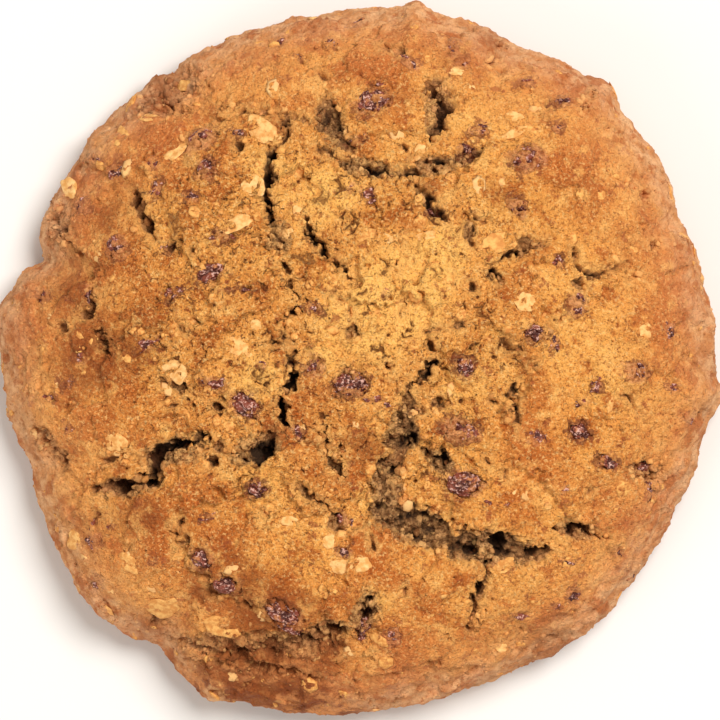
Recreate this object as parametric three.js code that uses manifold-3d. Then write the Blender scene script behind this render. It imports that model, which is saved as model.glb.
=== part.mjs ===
// An oatmeal raisin cookie: one thick round of baked dough whose domed crust has split into
// plates, with oat flakes baked into it and raisins sunk in it up to their caps.
// Millimetres, +Z up. The origin is the middle of the flat underside, +Y is the cookie's "north".
import * as THREE from "three";
import { ImprovedNoise } from "three/addons/math/ImprovedNoise.js";
import { mergeVertices } from "three/addons/utils/BufferGeometryUtils.js";
import Module from "manifold-3d";

// ---------- driving dimensions ----------
const MEAN_RADIUS = 41.84; // of the rim, averaged all round
const HEIGHT = 19.5; // underside to the top of the dome, before the swells
const GIRTH_LEVEL = 4.4; // height of the widest level
const FOOT_INSET = 3.2; // how far the flat underside's edge lies inside the rim
const DOME_FLATNESS = 3.1; // exponent along the radius: higher keeps the top flatter
const SHOULDER_FULLNESS = 1.75; // exponent of the height: higher makes the shoulder fuller
const LUMP_SIZE = 5.2; // spacing of the small lumps of the crust
const LUMP_HEIGHT = 0.42;

// Waves of the outline: [waves round the rim, amplitude, direction of a crest in degrees].
const OUTLINE_WAVES = [
  [1, 0.335, 289],
  [2, 0.65, 43],
  [4, 0.25, 61],
  [5, 0.2, 33],
  [6, 0.18, 0],
  [8, 0.21, 41],
];
// Nubs (+) and nicks (-) of the rim: [direction in degrees, depth, width in degrees].
const RIM_NUBS = [
  [354, 1.1, 2.5],
  [24, -0.7, 2],
  [48, 1.1, 3],
  [63, -0.6, 4],
  [81, 1.1, 2],
  [123, -0.8, 2],
  [140, 0.6, 3],
  [162.5, -2.4, 3],
  [174, 1.0, 4],
  [198, -0.8, 4],
  [220, 0.6, 8],
  [235, -1.7, 4],
  [246, 1.3, 3],
];
// Broad swells (+) and hollows (-) of the crust: [x, y, reach, height].
const SWELLS = [
  [-19, 3.4, 8.5, 0.9],
  [-13, -22.2, 8, 0.9],
  [-1.1, -7.6, 3.8, 1.1],
  [-1.7, 9.5, 7, 0.5],
  [29, -5, 8, 0.5],
  [21, -28.5, 6, 0.5],
  [-15.4, 20.1, 6, 0.7],
  [20.3, 24, 7, 0.5],
  [7, -29, 6, 0.6],
  [9.5, -19.5, 4, -0.8],
  [-20.5, 30, 4, -0.8],
];

// ---------- cracks: width between the lips, depth, and the route over the crust ----------
const crack = (width, depth, ...route) => ({ width, depth, route });
const CRACKS = [
  // north fissure
  crack(1.3, 4.6, [-8.6, 28.4], [-9, 26], [-10.5, 24.3], [-10.8, 20], [-10.3, 15.8]),
  // fissure neck
  crack(0.7, 2.4, [-9.9, 14.6], [-9, 11.5], [-7.4, 6.5], [-8.6, 4.3], [-8, 1.5]),
  // middle fissure
  crack(1.1, 4.2, [-8, 0.8], [-7.8, -2.3], [-9.1, -4.9], [-9, -7.1], [-6.4, -9.5]),
  // pocket
  crack(2.1, 4.8, [-14, -11.3], [-11.6, -10.8], [-9.5, -9]),
  // pocket steps
  crack(0.8, 2.6, [-17.8, -10.1], [-15.9, -11.1], [-13.8, -11.4]),
  // west fissure
  crack(1.6, 4.4, [-18, -9.3], [-20.7, -10.1], [-23.4, -10.4], [-24, -12.6], [-24.1, -15.2]),
  // west tail
  crack(1.3, 3.4, [-24.2, -14.3], [-26.5, -14.8], [-28.8, -15.4], [-31.8, -15.7]),
  // centre hook
  crack(1, 3.4, [9.2, 0.1], [7.4, -2.1], [5.6, -4.2], [5.8, -5.9]),
  // centre gap
  crack(2.5, 4.2, [5.8, -6], [5.3, -9.2], [4.2, -12]),
  // centre slope
  crack(1.9, 2.6, [4, -11.4], [2.6, -14.4], [2.2, -18.5]),
  // centre pits
  crack(1.8, 2.6, [7.4, -11], [9.3, -11.8], [10.2, -13.5]),
  // south-east rift
  crack(3.8, 4.8, [1.6, -18], [6, -19.2], [9.6, -20.8], [13.2, -22.2], [16.7, -22.3], [20.6, -23]),
  // rift tip
  crack(1.4, 3, [19.3, -24], [21, -23], [23.3, -22.3]),
  // east notch
  crack(1.3, 2.8, [22.7, -20.2], [24.3, -20.8], [25.9, -19.8], [27.4, -20.4], [29.6, -21.6]),
  // south crack
  crack(1, 3, [14.8, -23.6], [14.8, -26.6], [13.6, -29.5], [13.2, -32.4]),
  // skirt rift
  crack(2.4, 4, [-0.4, -31.2], [-3.5, -32.8], [-7.1, -33.6], [-11.6, -34.7], [-17.2, -34.5], [-22.9, -33.2]),
  // skirt branch
  crack(1.3, 3, [1.3, -27.7], [1, -30.4], [-0.4, -33]),
  // north rift
  crack(2.1, 3, [-4.1, 30.6], [-3, 27.7], [-1.2, 24.4]),
  // north shelf
  crack(1.3, 3.2, [-5.1, 25], [-1.7, 22.9], [1.5, 22.4], [4.3, 21.7]),
  // north hole
  crack(2.2, 3.8, [8.2, 33], [9.5, 30.8], [9.8, 28.6], [8.7, 26]),
  // north slot
  crack(1.5, 3.2, [5.1, 22.4], [8.2, 22.5], [11.2, 23.4], [14.5, 24.7]),
  // north-east fissure
  crack(1.5, 3.4, [6.4, 21.2], [7.2, 18.6], [8.9, 16.2], [10.8, 14.6], [13.6, 12.7]),
  // inner crack
  crack(1, 3, [-6.8, 17.2], [-5.9, 14.8], [-4, 12.4], [-1.8, 10.5], [-0.5, 8.8]),
  // raisin arc
  crack(0.9, 2.6, [22, 14.1], [19.6, 12.9], [16.7, 12.1], [15.7, 10.5], [16.4, 8.7]),
  // east spur
  crack(0.8, 2.2, [25.1, 13.5], [26.7, 9.4], [28.6, 10.1], [31.8, 11.2]),
  // west slit
  crack(1.1, 3, [-31.8, 7.6], [-31.6, 4.8], [-30.4, 2.9], [-29.2, 0.6]),
  // west pits
  crack(1, 2.4, [-27.5, 20.1], [-26.4, 18.2], [-25.5, 16], [-24.3, 14]),
  // west rim crack
  crack(1.2, 2.6, [-36.5, 18.6], [-36.6, 15], [-35.2, 12.2]),
  // nub edge
  crack(1, 3, [-4.6, -8.2], [-4.2, -10.9], [-1.7, -14]),
  // south dash
  crack(0.8, 2.2, [-6.1, -15.5], [-4.7, -16.6], [-3.3, -18]),
  // east slit
  crack(1, 2.8, [18.7, -3], [18, -5.9], [18.8, -9]),
  // east rim pits
  crack(1.3, 2.2, [32.5, -13.4], [34.1, -12.8], [35.7, -14.4]),
  // west rim pits
  crack(1.1, 2.2, [-38.7, -8.3], [-37.1, -10.2], [-35.2, -12.5]),
  // north-west hollow
  crack(1.9, 2.4, [-22, 31], [-20.4, 28.9], [-17.4, 28]),
];
const CRACK_STEP = 2; // distance between the stations of a crack's walls
const LIP_CLEARANCE = 1.6; // how far a cutter reaches above the crust
const FLOOR_SHARE = 0.42; // width of a crack's floor against its mouth
const CRACK_END = 0.3; // width and depth of a crack's ends against its middle
const WALL_JAG = 0.3; // how far a wall strays from its line, as a share of the half width
const FLOOR_JAG = 0.15; // how far a floor strays from its depth, as a share of it

// Raisins whose caps show: [x, y, length, width, turn in degrees].
const RAISINS = [
  [-1.2, -3, 5.2, 3.1, 12],
  [12.1, -14.7, 4.8, 3.4, 0],
  [12.1, -8.2, 5.2, 3.3, -12],
  [-8.9, -30.2, 5.8, 2.8, -25],
  [-13.3, -5.5, 4.2, 3.3, -35],
  [1.5, 30.4, 5, 3.2, 20],
  [19.9, 23.6, 5.2, 3.5, 5],
  [-17.6, 10.1, 4, 2.3, 25],
  [-5.6, -0.9, 2.7, 2.8, 0],
  [18.6, 17.9, 3.4, 2.2, -60],
  [12.3, -1.1, 2.5, 2.9, 0],
  [-12, -15.2, 3.1, 2.4, -15],
  [26, -8.6, 3.4, 2.4, -25],
  [29.3, -12.3, 3.4, 2.2, -15],
  [20.4, 3, 2.9, 2.4, 0],
  [-16, -26.8, 3.5, 2.2, -5],
  [-18.6, -23.8, 3.1, 2.5, -40],
  [32.8, -1.5, 3.5, 2.8, -10],
  [-18, 22.7, 3.2, 2.3, 35],
  [-28.8, 13.4, 2.6, 3.1, 30],
  [25.8, 6.4, 2.7, 3.1, 0],
  [-18.8, 26.2, 4.2, 2.2, 30],
];
const RAISIN_DEPTH = 3; // a raisin's height, cap to bottom
const RAISIN_PROUD = 0.55; // how far its cap stands above the crust
const RAISIN_WRINKLE = 0.22; // how far its skin folds in and out, as a share of its size
const POCKET_GAP = 0.3; // between a raisin and its pocket

// Scraps of raisin baked flush into the crust: [x, y, length, width, turn in degrees].
const RAISIN_SCRAPS = [
  [1.2, 19.2, 2.1, 1.9, 0],
  [-19.7, 19, 2, 1.7, 0],
  [-16.6, -2.9, 2.4, 1.7, 0],
  [23.3, 11.4, 1.7, 1.6, 0],
  [20.9, -9.1, 2.1, 1.9, 0],
  [36.2, 3.3, 1.9, 2.1, -20],
  [-28.6, 22, 2.4, 1.7, 40],
  [-32.8, 18, 1.8, 2, 0],
  [-31.4, -21.5, 2, 1.7, 0],
  [3.9, -32.6, 2.4, 1.9, 10],
  [25.4, -28, 1.9, 1.7, 0],
  [-24, 19.8, 2.1, 1.4, 50],
  [-21.2, 7.7, 2.6, 1.4, 30],
  [-1.9, -18.9, 1.7, 2.2, 20],
  [19.2, -30.5, 2.9, 1.2, 0],
  [13.9, 26.6, 2.4, 1.4, 0],
  [-34.6, -2.9, 2.4, 1.4, 0],
];

const SCRAP_DEPTH = 1.4; // height of a scrap, most of it sunk in the crust
const SCRAP_SINK = 0.35; // how far its middle lies under the crust
const SCRAP_WRINKLE = 0.3;

const OAT_FLAKES = 52;
const FLAKE_LENGTH = 3.9;
const FLAKE_WIDTH = 2.7;
const FLAKE_THICKNESS = 0.9;
const FLAKE_PROUD = 0.3; // how far a flake's face stands above the crust
const FLAKE_SPREAD = 0.9; // how far out the flakes reach, as a share of the radius
const FLAKE_SCATTER = 1.5; // how far a flake lies from its place on the spiral
const FLAKE_TILT = 9; // degrees
const FLAKE_CLEARANCE = 1.8; // from a flake's middle to the nearest crack or raisin
const CRUMB_RADIUS = 0.75; // lumps of torn crumb on the floors of the wide cracks
const CRUMB_SPACING = 2;
const CRUMB_LEVEL = 0.72; // how deep the lumps lie, as a share of the crack's depth
const CRUMB_CRACK = 1.8; // the narrowest crack with lumps in it
const UNEVENNESS = 0.25; // how much flakes and lumps differ in size, as a share

// ---------- mesh resolution ----------
const TOP_RINGS = 19;
const SIDE_RINGS = 3;
const SLOPE_STEP = 0.8; // the distance over which the crust's slope is measured

const radians = THREE.MathUtils.degToRad;
const random = THREE.MathUtils.seededRandom;
random(20); // seeds every draw that follows
const spread = (amount) => (random() * 2 - 1) * amount;
const noise = new ImprovedNoise();
const fullTurn = 2 * Math.PI;

// ---------- form of the dough ----------
function rimRadius(angle) {
  let radius = MEAN_RADIUS;
  for (const [waves, amplitude, crest] of OUTLINE_WAVES)
    radius += amplitude * Math.cos(waves * (angle - radians(crest)));
  for (const [direction, depth, width] of RIM_NUBS) {
    const turn = THREE.MathUtils.euclideanModulo(angle - radians(direction) + Math.PI, fullTurn);
    radius += depth * Math.exp(-(((turn - Math.PI) / radians(width)) ** 2));
  }
  return radius;
}

// Height of the smooth dome where its radius is a share of the rim's.
function domeHeight(share) {
  const fall = 1 - Math.min(1, share) ** DOME_FLATNESS;
  return GIRTH_LEVEL + (HEIGHT - GIRTH_LEVEL) * fall ** (1 / SHOULDER_FULLNESS);
}

// Height of the crust over a point of the plan, before it cracks.
function crustHeight(x, y) {
  const share = Math.hypot(x, y) / rimRadius(Math.atan2(y, x));
  let height = domeHeight(share);
  for (const [cx, cy, reach, rise] of SWELLS)
    height += rise * Math.exp(-((x - cx) ** 2 + (y - cy) ** 2) / reach ** 2);
  const calm = 1 - Math.min(1, share) ** 6; // the lumps fade out at the rim
  return height + LUMP_HEIGHT * calm * noise.noise(x / LUMP_SIZE + 7.3, y / LUMP_SIZE + 2.1, 0.5);
}

function crustNormal(x, y) {
  const slopeX = (crustHeight(x + SLOPE_STEP, y) - crustHeight(x - SLOPE_STEP, y)) / (2 * SLOPE_STEP);
  const slopeY = (crustHeight(x, y + SLOPE_STEP) - crustHeight(x, y - SLOPE_STEP)) / (2 * SLOPE_STEP);
  return new THREE.Vector3(-slopeX, -slopeY, 1).normalize();
}

// Shares of the radius that set the rings of the dome the same distance apart along its slope.
function ringShares(count) {
  const samples = 400;
  const lengths = [0];
  for (let i = 1; i <= samples; i++) {
    const run = MEAN_RADIUS / samples;
    const rise = domeHeight(i / samples) - domeHeight((i - 1) / samples);
    lengths.push(lengths[i - 1] + Math.hypot(run, rise));
  }
  const shares = [];
  let i = 0;
  for (let ring = 0; ring <= count; ring++) {
    const target = (lengths[samples] * ring) / count;
    while (i < samples && lengths[i + 1] < target) i++;
    const part = i < samples ? (target - lengths[i]) / (lengths[i + 1] - lengths[i]) : 0;
    shares.push(Math.min(1, (i + part) / samples));
  }
  return shares;
}

// The whole round of dough as a closed mesh: ring k of the top has 6k points, as in a honeycomb,
// the side goes down in rings as full as the rim, and the underside is one flat face.
function doughGeometry() {
  const positions = [0, 0, crustHeight(0, 0)];
  const faces = [];
  const shares = ringShares(TOP_RINGS);
  const ringStart = (k) => (k === 0 ? 0 : 1 + 3 * k * (k - 1));
  for (let k = 1; k <= TOP_RINGS; k++)
    for (let j = 0; j < 6 * k; j++) {
      const angle = (fullTurn * j) / (6 * k);
      const radius = rimRadius(angle) * shares[k];
      const x = radius * Math.cos(angle);
      const y = radius * Math.sin(angle);
      positions.push(x, y, crustHeight(x, y));
    }
  for (let k = 1; k <= TOP_RINGS; k++)
    for (let sector = 0; sector < 6; sector++)
      for (let j = 0; j < k; j++) {
        const outer = (n) => ringStart(k) + ((sector * k + n) % (6 * k));
        const inner = (n) => ringStart(k - 1) + ((sector * (k - 1) + n) % Math.max(1, 6 * (k - 1)));
        faces.push(outer(j), outer(j + 1), inner(j));
        if (j < k - 1) faces.push(inner(j), outer(j + 1), inner(j + 1));
      }
  const around = 6 * TOP_RINGS;
  let upper = ringStart(TOP_RINGS);
  for (let ring = 1; ring <= SIDE_RINGS; ring++) {
    const turn = ((Math.PI / 2) * ring) / SIDE_RINGS;
    const lower = positions.length / 3;
    for (let j = 0; j < around; j++) {
      const angle = (fullTurn * j) / around;
      const radius = rimRadius(angle) - FOOT_INSET * (1 - Math.cos(turn));
      const level = GIRTH_LEVEL * (1 - Math.sin(turn));
      positions.push(radius * Math.cos(angle), radius * Math.sin(angle), level);
    }
    for (let j = 0; j < around; j++) {
      const next = (j + 1) % around;
      faces.push(upper + j, lower + j, lower + next, upper + j, lower + next, upper + next);
    }
    upper = lower;
  }
  const edge = [];
  for (let j = 0; j < around; j++)
    edge.push(new THREE.Vector2(positions[3 * (upper + j)], positions[3 * (upper + j) + 1]));
  for (const [a, b, c] of THREE.ShapeUtils.triangulateShape(edge, []))
    faces.push(upper + a, upper + c, upper + b);
  return new THREE.BufferGeometry()
    .setAttribute("position", new THREE.Float32BufferAttribute(positions, 3))
    .setIndex(faces);
}

// ---------- what is cut from the dough and what is baked onto it ----------
// A crack's cutter: a jagged trough that follows the route, open above the crust, narrow at its floor.
function crackGeometry({ route, width, depth }) {
  const line = new THREE.CatmullRomCurve3(route.map(([x, y]) => new THREE.Vector3(x, y, 0)));
  const steps = Math.max(3, Math.round(line.getLength() / CRACK_STEP));
  const positions = [];
  const faces = [];
  for (let i = 0; i <= steps; i++) {
    const middle = line.getPointAt(i / steps);
    const along = line.getTangentAt(i / steps);
    const fullness = Math.sqrt(Math.sin((Math.PI * (i + 0.5)) / (steps + 1)));
    const swell = CRACK_END + (1 - CRACK_END) * fullness;
    const left = (width / 2) * swell * (1 + spread(WALL_JAG));
    const right = (width / 2) * swell * (1 + spread(WALL_JAG));
    const crust = crustHeight(middle.x, middle.y);
    const top = crust + LIP_CLEARANCE;
    const floor = crust - depth * swell * (1 + spread(FLOOR_JAG));
    const mouth = [[left, top], [-right, top]];
    const bed = [[-right * FLOOR_SHARE, floor], [left * FLOOR_SHARE, floor]];
    for (const [offset, z] of [...mouth, ...bed])
      positions.push(middle.x - along.y * offset, middle.y + along.x * offset, z);
    if (i === 0) continue;
    for (let corner = 0; corner < 4; corner++) {
      const a = 4 * (i - 1) + corner;
      const b = 4 * (i - 1) + ((corner + 1) % 4);
      faces.push(a, b, b + 4, a, b + 4, a + 4);
    }
  }
  const last = 4 * steps;
  faces.push(0, 3, 2, 0, 2, 1, last, last + 1, last + 2, last, last + 2, last + 3);
  return new THREE.BufferGeometry()
    .setAttribute("position", new THREE.Float32BufferAttribute(positions, 3))
    .setIndex(faces);
}

// Lays a geometry on the crust at (x, y): its own z becomes the crust's normal, and its centre
// lies `lift` above the crust along that normal.
function layOnCrust(geometry, x, y, turn, lift, tilt = 0) {
  const normal = crustNormal(x, y);
  const lean = new THREE.Quaternion().setFromUnitVectors(new THREE.Vector3(0, 0, 1), normal);
  const pose = new THREE.Quaternion().setFromEuler(new THREE.Euler(tilt, 0, radians(turn)));
  const place = new THREE.Vector3(x, y, crustHeight(x, y)).addScaledVector(normal, lift);
  return geometry.applyQuaternion(lean.multiply(pose)).translate(place.x, place.y, place.z);
}

// A wrinkled lens: the shape of a raisin, of its pocket and of a scrap.
function wrinkledLens(length, width, height, wrinkle, seed, segments = 8) {
  const lens = new THREE.SphereGeometry(1, segments, Math.round(segments * 0.6));
  const at = lens.getAttribute("position");
  for (let i = 0; i < at.count; i++) {
    const [px, py, pz] = [at.getX(i), at.getY(i), at.getZ(i)];
    const fold = 1 + wrinkle * noise.noise(2.1 * px + seed, 2.1 * py, 2.1 * pz + 0.5);
    at.setXYZ(i, (px * fold * length) / 2, (py * fold * width) / 2, (pz * fold * height) / 2);
  }
  return lens;
}

// A rolled oat: an oval flake, its rim uneven.
function flakeGeometry(length, width) {
  const flake = new THREE.CylinderGeometry(0.5, 0.42, FLAKE_THICKNESS, 7);
  flake.rotateX(Math.PI / 2);
  const uneven = spread(0.12);
  const at = flake.getAttribute("position");
  for (let i = 0; i < at.count; i++) {
    const bend = 1 + uneven * Math.sign(at.getX(i)) * Math.abs(at.getY(i));
    at.setXY(i, at.getX(i) * length * bend, at.getY(i) * width);
  }
  return flake;
}

// ---------- joining and cutting ----------
const wasm = await Module();
wasm.setup();

function toSolid(geometry) {
  const bare = geometry.clone();
  bare.deleteAttribute("normal");
  bare.deleteAttribute("uv");
  const merged = mergeVertices(bare, 1e-4);
  return new wasm.Manifold(
    new wasm.Mesh({
      numProp: 3,
      vertProperties: merged.getAttribute("position").array,
      triVerts: new Uint32Array(merged.index.array),
    }),
  );
}

function toGeometry(solid) {
  const mesh = solid.getMesh();
  return new THREE.BufferGeometry()
    .setAttribute("position", new THREE.BufferAttribute(mesh.vertProperties, 3))
    .setIndex(new THREE.BufferAttribute(mesh.triVerts, 1));
}

const joined = (geometries) => wasm.Manifold.union(geometries.map(toSolid));

// Distance in plan from a point to the nearest crack's route, less half that crack's width.
const crackPoints = CRACKS.flatMap(({ route, width }) =>
  new THREE.CatmullRomCurve3(route.map(([x, y]) => new THREE.Vector3(x, y, 0)))
    .getPoints(12)
    .map((point) => ({ point, width })),
);
const toCracks = (x, y) =>
  Math.min(...crackPoints.map(({ point, width }) => Math.hypot(point.x - x, point.y - y) - width / 2));
const fruit = [...RAISINS, ...RAISIN_SCRAPS];
const toRaisins = (x, y) =>
  Math.min(...fruit.map(([cx, cy, length]) => Math.hypot(cx - x, cy - y) - length / 2));

function raisinLens(index, grow) {
  const [x, y, length, width, turn] = RAISINS[index];
  const lens = wrinkledLens(length + grow, width + grow, RAISIN_DEPTH + grow, RAISIN_WRINKLE, 5.7 * index);
  return layOnCrust(lens, x, y, turn, RAISIN_PROUD - RAISIN_DEPTH / 2);
}

// Oats lie on a sunflower spiral with some scatter, wherever no crack or raisin is in the way.
function oatFlakes() {
  const flakes = [];
  const goldenAngle = Math.PI * (3 - Math.sqrt(5));
  for (let i = 0; i < OAT_FLAKES; i++) {
    const reach = FLAKE_SPREAD * MEAN_RADIUS * Math.sqrt((i + 0.5) / OAT_FLAKES);
    const x = reach * Math.cos(i * goldenAngle) + spread(FLAKE_SCATTER);
    const y = reach * Math.sin(i * goldenAngle) + spread(FLAKE_SCATTER);
    const size = 1 + spread(UNEVENNESS);
    const turn = random() * 360;
    const tilt = radians(spread(FLAKE_TILT));
    if (Math.min(toCracks(x, y), toRaisins(x, y)) < FLAKE_CLEARANCE) continue;
    const flake = flakeGeometry(FLAKE_LENGTH * size, FLAKE_WIDTH * size);
    flakes.push(layOnCrust(flake, x, y, turn, FLAKE_PROUD - FLAKE_THICKNESS / 2, tilt));
  }
  return flakes;
}

// Lumps of torn crumb along the floors of the wide cracks.
function crumbLumps() {
  const lumps = [];
  for (const { route, width, depth } of CRACKS) {
    if (width < CRUMB_CRACK) continue;
    const line = new THREE.CatmullRomCurve3(route.map(([x, y]) => new THREE.Vector3(x, y, 0)));
    const count = Math.floor(line.getLength() / CRUMB_SPACING);
    for (let i = 1; i < count; i++) {
      const middle = line.getPointAt(i / count);
      const x = middle.x + spread(width / 4);
      const y = middle.y + spread(width / 4);
      const lump = new THREE.IcosahedronGeometry(CRUMB_RADIUS * (1 + spread(UNEVENNESS)), 0);
      lump.rotateX(random() * Math.PI).rotateZ(random() * Math.PI);
      lumps.push(lump.translate(x, y, crustHeight(x, y) - depth * CRUMB_LEVEL));
    }
  }
  return lumps;
}

function scrapLens([x, y, length, width, turn], index) {
  const lens = wrinkledLens(length, width, SCRAP_DEPTH, SCRAP_WRINKLE, 2.3 * index, 6);
  return layOnCrust(lens, x, y, turn, -SCRAP_SINK);
}

function bakedDough() {
  const cracked = toSolid(doughGeometry()).subtract(joined(CRACKS.map(crackGeometry)));
  const baked = cracked.add(joined([...oatFlakes(), ...crumbLumps(), ...RAISIN_SCRAPS.map(scrapLens)]));
  const pockets = joined(RAISINS.map((_, index) => raisinLens(index, 2 * POCKET_GAP)));
  const pieces = baked.subtract(pockets).decompose();
  return pieces.reduce((largest, piece) => (piece.volume() > largest.volume() ? piece : largest));
}

// ---------- the cookie ----------
const crust = new THREE.MeshStandardMaterial({ color: 0xcf8a4c, roughness: 0.85, metalness: 0 });
const raisinSkin = new THREE.MeshStandardMaterial({ color: 0x4f2530, roughness: 0.35, metalness: 0 });

const cookie = new THREE.Group();
const dough = new THREE.Mesh(toGeometry(bakedDough()), crust);
dough.name = "baked_dough";
cookie.add(dough);

RAISINS.forEach((_, index) => {
  const raisin = new THREE.Mesh(raisinLens(index, 0), raisinSkin);
  raisin.name = `raisin_${String(index + 1).padStart(2, "0")}`;
  cookie.add(raisin);
});

export default cookie;
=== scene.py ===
# %% [markdown]
# # An oatmeal raisin cookie
# The packed model gives the size and the place of everything: one round of baked dough and a
# raisin for each cap that shows. It is loaded first and stays as it is. What follows dresses it:
# a crust with real cracks and crumbs, wrinkled raisins, oat flakes, and a finish for each.

# %% Load the packed model
import math
import bmesh
import bpy
import numpy as np
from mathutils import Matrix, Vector, noise
from mathutils.bvhtree import BVHTree


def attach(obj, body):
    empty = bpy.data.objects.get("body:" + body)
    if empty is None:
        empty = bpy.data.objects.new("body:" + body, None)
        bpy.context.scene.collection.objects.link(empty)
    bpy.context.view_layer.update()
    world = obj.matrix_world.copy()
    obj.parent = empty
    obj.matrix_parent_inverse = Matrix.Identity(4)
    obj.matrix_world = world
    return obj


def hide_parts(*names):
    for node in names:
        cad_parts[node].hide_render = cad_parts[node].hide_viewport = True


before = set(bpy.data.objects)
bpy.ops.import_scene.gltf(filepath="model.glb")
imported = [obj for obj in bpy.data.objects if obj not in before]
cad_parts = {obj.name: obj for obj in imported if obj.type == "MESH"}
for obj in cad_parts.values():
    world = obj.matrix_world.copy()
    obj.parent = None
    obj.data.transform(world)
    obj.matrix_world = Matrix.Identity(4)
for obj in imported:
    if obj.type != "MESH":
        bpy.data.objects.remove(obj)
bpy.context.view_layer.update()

MM = 0.001  # sizes below are in millimetres, and meshes are in metres
RAISIN_NODES = sorted(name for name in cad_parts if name.startswith("raisin"))
print("raisins:", len(RAISIN_NODES))

# %% [markdown]
# ## Camera, floor and light
# Food is often shown from straight above, with a long lens so that the sides don't lean.
# A lens could be set to any length: the further away the camera, the flatter the picture. One
# metre is far enough here, and the focal length follows from the width that has to fit.

# %% Camera
CAMERA_DISTANCE = 1.0  # metres above the floor
SENSOR_WIDTH = 36.0
FRAME_WIDTH = 85.68 * MM  # what the picture's width covers, at the level of the rim
FRAME_MIDDLE = (0.06 * MM, -0.18 * MM)

camera_data = bpy.data.cameras.new("overhead")
camera_data.sensor_width = SENSOR_WIDTH
camera_data.lens = SENSOR_WIDTH * CAMERA_DISTANCE / FRAME_WIDTH
camera_data.clip_start = 0.05
camera_data.clip_end = 10
camera = bpy.data.objects.new("overhead", camera_data)
camera.location = (*FRAME_MIDDLE, CAMERA_DISTANCE)
bpy.context.scene.collection.objects.link(camera)
bpy.context.scene.camera = camera
print("lens:", round(camera_data.lens), "mm")

# %% [markdown]
# A crust is matt, so it shows its relief only where light grazes it. One large lamp from the
# upper right draws every crumb with a soft shadow, and a pale surround fills the shadows. A
# sun lamp would do too, but its hard shadows look like open air and not like a kitchen.


# %% Lights
def area_light(name, place, size, power, colour):
    """A round lamp that faces the cookie from its place, in metres."""
    data = bpy.data.lights.new(name, "AREA")
    data.shape = "DISK"
    data.size = size
    data.energy = power
    data.color = colour
    lamp = bpy.data.objects.new(name, data)
    lamp.location = place
    lamp.rotation_euler = Vector(place).to_track_quat("Z", "Y").to_euler()
    bpy.context.scene.collection.objects.link(lamp)


WINDOW_POWER = 12.1  # watts
REFLECTOR_POWER = 1.9
SURROUND = 0.43  # strength of the pale surround
area_light("window", (0.38, 0.37, 0.98), 0.6, WINDOW_POWER, (1.0, 0.975, 0.95))
area_light("reflector", (-0.45, -0.45, 0.4), 0.5, REFLECTOR_POWER, (1.0, 0.98, 0.97))

world = bpy.data.worlds.new("studio")
world.use_nodes = True
world.node_tree.nodes["Background"].inputs["Color"].default_value = (1.0, 0.97, 0.92, 1)
world.node_tree.nodes["Background"].inputs["Strength"].default_value = SURROUND
bpy.context.scene.world = world
bpy.context.scene.view_settings.view_transform = "Standard"


# %% [markdown]
# ## A short hand for node trees
# Every finish here is a tree of nodes over the piece's own coordinates, and so is the rule that
# scatters the crumbs. Each tree could be wired link by link, but that takes a page for each, so
# small classes make a node, fill its inputs and hand back its output. Patterns are measured in
# millimetres, like the sizes.


# %% Node helper
def srgb(red, green, blue):
    """A colour given as it looks on a screen, 0 to 255, as the linear values that shaders use."""
    shares = np.array([red, green, blue]) / 255
    linear = np.where(shares > 0.04045, ((shares + 0.055) / 1.055) ** 2.4, shares / 12.92)
    return (*linear.tolist(), 1.0)


class Wiring:
    """Adds nodes to a tree, and feeds a socket with a value or with another socket."""

    def __init__(self, tree):
        self.tree = tree

    def node(self, kind, **settings):
        made = self.tree.nodes.new(kind)
        for key, value in settings.items():
            setattr(made, key, value)
        return made

    def feed(self, socket, value):
        if isinstance(value, bpy.types.NodeSocket):
            self.tree.links.new(value, socket)
        else:
            socket.default_value = value


print("a tan as shaders take it:", [round(value, 2) for value in srgb(237, 160, 75)])

# %% [markdown]
# A finish starts from a shader and the place in millimetres. Its patterns are soft noise for
# patches and grain, and the edges of wandering cells for fine breaks. Attributes of the mesh
# bring in what the crust is made of at each point.


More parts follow.
